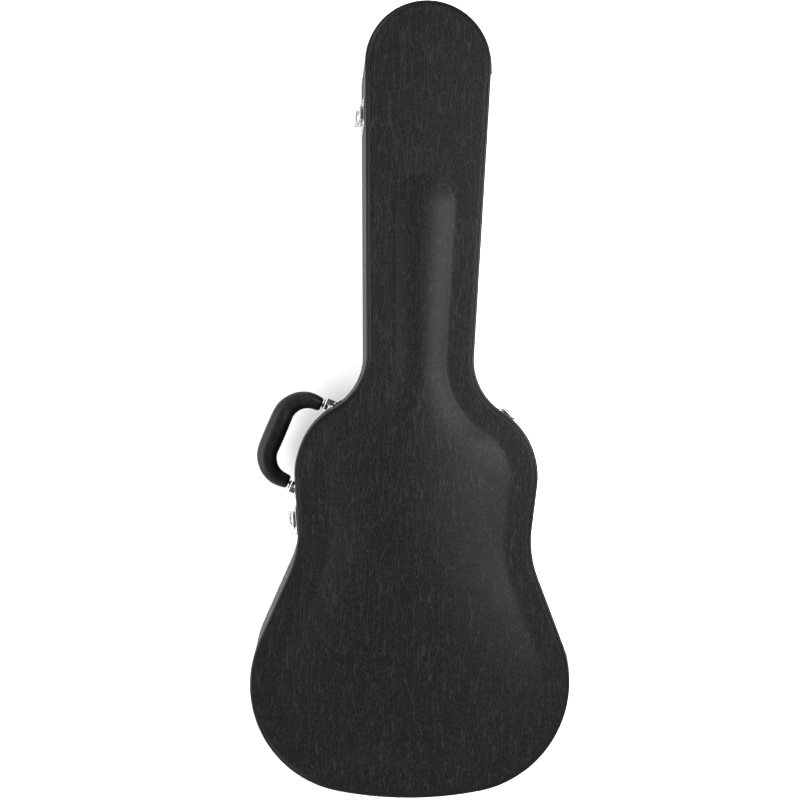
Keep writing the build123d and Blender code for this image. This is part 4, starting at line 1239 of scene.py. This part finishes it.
pattern_plate = pressed_plate("plate", PLATE_WIDTH, PLATE_FOOT, PLATE_TOP, PLATE_CORNER)
pattern_panel = moved(
    pressed_plate("panel", PANEL_WIDTH, PLATE_FOOT + 5, PLATE_TOP - 5, 2.5, 0.8), y=SHEET - 0.55
)
pattern_ears = [ear(-1), ear(1)]
pattern_lever = joined("lever", [lever_shape(), cheek(-1), cheek(1)])
pattern_hasp = hasp_shape()
pattern_strike, pattern_ledge = strike_shape()
pattern_pin = tube(
    "pin", (-CHEEK_OUTER - 0.5, PIVOT_OUT, -PIVOT_DROP), (CHEEK_OUTER + 0.5, PIVOT_OUT, -PIVOT_DROP), 1.2
)
pattern_rivet = dome("rivet", RIVET_HEAD_RADIUS, RIVET_HEAD_HEIGHT, SHEET)
RIVET_FROM_SIDE = 4.0
RIVET_FROM_END = 5
rivet_side = PLATE_WIDTH / 2 - RIVET_FROM_SIDE
rivet_levels = (PLATE_TOP - RIVET_FROM_END, PLATE_FOOT + RIVET_FROM_END)
plate_rivets = [(side * rivet_side, z) for side in (-1, 1) for z in rivet_levels]
strike_rivets = [(side * rivet_side, STRIKE_TOP - RIVET_FROM_END) for side in (-1, 1)]

pins, wall_heads, lid_heads = [], [], []
for name, (point, angle, curve) in LATCHES.items():
    spot = wall_place(point, angle, PARTING)
    plate = to_wall(copied(pattern_plate, "plate"), spot, curve)
    panel = to_wall(copied(pattern_panel, "panel"), spot, curve)
    ears = [to_wall(copied(piece, "ear"), spot) for piece in pattern_ears]
    base = joined(f"latch_base_{name}", [plate, panel] + ears)
    finish_piece(base, "base", CHROMED, (f"latch_plate_{name}",))
    lever = to_wall(copied(pattern_lever, f"lever_{name}_pressed"), spot)
    finish_piece(lever, f"lever_{name}", CHROMED, (f"latch_lever_{name}",))
    hasp = to_wall(copied(pattern_hasp, f"hasp_{name}_bail"), spot)
    finish_piece(hasp, f"hasp_{name}", CHROMED, (f"latch_hasp_{name}",))
    strike = to_wall(copied(pattern_strike, "strike"), spot, curve)
    ledge = to_wall(copied(pattern_ledge, "ledge"), spot)
    strike = joined(f"strike_{name}_pressed", [strike, ledge])
    finish_piece(strike, "lid", CHROMED, (f"latch_strike_{name}",))
    pins.append(to_wall(copied(pattern_pin, "pin"), spot))
    for x, z in plate_rivets:
        wall_heads.append(to_wall(moved(copied(pattern_rivet, "rivet"), x=x, z=z), spot, curve))
    for x, z in strike_rivets:
        lid_heads.append(to_wall(moved(copied(pattern_rivet, "rivet"), x=x, z=z), spot, curve))

finish_piece(joined("lever_pins", pins), "base", CHROMED, ("latch_pivot_pins",))
finish_piece(
    joined("latch_plate_heads", wall_heads), "base", CHROMED, ("latch_plate_rivets",)
)
finish_piece(
    joined("strike_heads", lid_heads), "lid", CHROMED, ("latch_strike_rivets",)
)
patterns = [pattern_plate, pattern_panel, pattern_lever, pattern_hasp]
patterns += [pattern_strike, pattern_ledge, pattern_pin, pattern_rivet, *pattern_ears]
for pattern in patterns:
    drop(pattern)

# ================================================================ carrying handle

HANDLE_ANGLE = 21.5
HANDLE_HEIGHT = 54.0
HANDLE_HALF_SPAN = 61.0
HANDLE_REACH = 41.0
HANDLE_SHOULDER = 24.0
HANDLE_TOP_HALF = 36.0
HANDLE_BEND = 34.0
GRIP_END = -5.5
GRIP_WIDTH = 31.0
GRIP_HEIGHT = 25.0
GRIP_END_WIDTH = 19.0
GRIP_END_HEIGHT = 17.0
GRIP_FULLNESS = 0.8


def rounded_path(corners, radius, steps=10):
    """Points along a chain of straight runs whose corners are arcs."""
    points = [np.array(corners[0], float)]
    for before, at, after in zip(corners, corners[1:], corners[2:]):
        before, at, after = (np.array(p, float) for p in (before, at, after))
        back = (before - at) / np.linalg.norm(before - at)
        on = (after - at) / np.linalg.norm(after - at)
        half_angle = math.acos(float(np.clip(back @ on, -1, 1))) / 2
        cut = radius / math.tan(half_angle)
        middle = (back + on) / np.linalg.norm(back + on)
        centre = at + middle * radius / math.sin(half_angle)
        first, last = at + back * cut - centre, at + on * cut - centre
        for i in range(steps + 1):
            turned = first * (1 - i / steps) + last * (i / steps)
            points.append(centre + turned / np.linalg.norm(turned) * radius)
    points.append(np.array(corners[-1], float))
    return np.array(points)


def grip():
    """The moulded grip: full in the middle, drawn in at the ends."""
    line = rounded_path(
        [
            (-HANDLE_HALF_SPAN, GRIP_END),
            (-HANDLE_HALF_SPAN, HANDLE_SHOULDER),
            (-HANDLE_TOP_HALF, HANDLE_REACH),
            (HANDLE_TOP_HALF, HANDLE_REACH),
            (HANDLE_HALF_SPAN, HANDLE_SHOULDER),
            (HANDLE_HALF_SPAN, GRIP_END),
        ],
        HANDLE_BEND,
    )
    along = np.concatenate([[0], np.cumsum(np.linalg.norm(np.diff(line, axis=0), axis=1))])
    even = np.linspace(0, along[-1], 90)
    line = np.column_stack([np.interp(even, along, line[:, k]) for k in (0, 1)])
    ahead = np.gradient(line, axis=0)
    ahead /= np.linalg.norm(ahead, axis=1, keepdims=True)
    up = np.array([0, 0, 1.0])
    path = []
    for (x, y), (dx, dy) in zip(line, ahead):
        path.append((np.array([x, y, 0.0]), np.array([-dy, dx, 0.0]), up))

    def section(share):
        near = min(share, 1 - share)
        full = max(0.0, math.sin(math.pi * share)) ** GRIP_FULLNESS
        tip = 1 - 0.2 * (1 - min(1.0, near / 0.02)) ** 2
        across = GRIP_END_WIDTH + (GRIP_WIDTH - GRIP_END_WIDTH) * full
        high = GRIP_END_HEIGHT + (GRIP_HEIGHT - GRIP_END_HEIGHT) * full
        return oval(across * tip, high * tip, 32, 2.2)

    return sweep("carrying_grip", path, section)


handle_out = 180 - HANDLE_ANGLE
handle_point = upper_centre * flip + direction(handle_out) * UPPER_BOUT_RADIUS
handle_spot = wall_place(handle_point, handle_out, HANDLE_HEIGHT)
finish_piece(
    to_wall(grip(), handle_spot), "handle", GRIP, ("handle_grip",), 50
)

# ======================================== CAD nodes that stay, with their materials


def dress(prefixes, material):
    """Gives the CAD nodes with these names a material."""
    for name, node in nodes.items():
        if name.startswith(prefixes) and not node.hide_render:
            node.data.materials.clear()
            node.data.materials.append(material)


dress(("handle_", "hinge_"), CHROMED)
dress(("pocket_hinge_pin",), WIRE)

# ================================================================ stage, light and camera

PAPER_SIZE = 9.0
bpy.ops.object.select_all(action="DESELECT")
bpy.ops.mesh.primitive_plane_add(size=PAPER_SIZE, location=(0, 0, 0))
paper = bpy.context.active_object
paper.name = "seamless_paper"
paper.data.materials.append(studio_paper())


def softbox(name, size, power, position, target=(0, 0, 0.1)):
    """A square soft light that faces its target."""
    light = bpy.data.lights.new(name, "AREA")
    light.shape = "SQUARE"
    light.size = size
    light.energy = power
    obj = bpy.data.objects.new(name, light)
    bpy.context.scene.collection.objects.link(obj)
    obj.location = position
    away = Vector(position) - Vector(target)
    obj.rotation_euler = away.to_track_quat("Z", "Y").to_euler()


softbox("key_right", 1.3, 150, (1.7, 0.5, 2.3))
softbox("left_fill", 2.2, 80, (-2.3, -0.2, 1.7))
bpy.context.scene.view_settings.view_transform = "Standard"

world = bpy.data.worlds.new("studio")
bpy.context.scene.world = world
world.use_nodes = True
sky = world.node_tree
heading = sky.nodes.new("ShaderNodeTexCoord").outputs["Generated"]
parts = sky.nodes.new("ShaderNodeSeparateXYZ")
sky.links.new(heading, parts.inputs[0])
fade = sky.nodes.new("ShaderNodeMapRange")
for socket, value in (("From Min", 0.70), ("From Max", 0.95), ("To Min", 1.7), ("To Max", 0.15)):
    fade.inputs[socket].default_value = value
sky.links.new(parts.outputs["Z"], fade.inputs["Value"])
backdrop = sky.nodes["Background"]
backdrop.inputs["Color"].default_value = (1, 1, 1, 1)
sky.links.new(fade.outputs["Result"], backdrop.inputs["Strength"])

CAMERA_PLACE = (-0.1349, 0.0151, 1.6735)
CAMERA_RIGHT = Vector((0.99718, 0.02753, 0.06984))
CAMERA_DOWN = Vector((0.02677, -0.99957, 0.01177))
CAMERA_FORWARD = Vector((0.07013, -0.00987, -0.99749))
camera_data = bpy.data.cameras.new("front_camera")
camera_data.lens = 49.94
camera_data.sensor_width = 36.0
camera = bpy.data.objects.new("front_camera", camera_data)
bpy.context.scene.collection.objects.link(camera)
turn = Matrix((CAMERA_RIGHT, -CAMERA_DOWN, -CAMERA_FORWARD)).transposed()
camera.matrix_world = Matrix.Translation(CAMERA_PLACE) @ turn.to_4x4()
bpy.context.scene.camera = camera
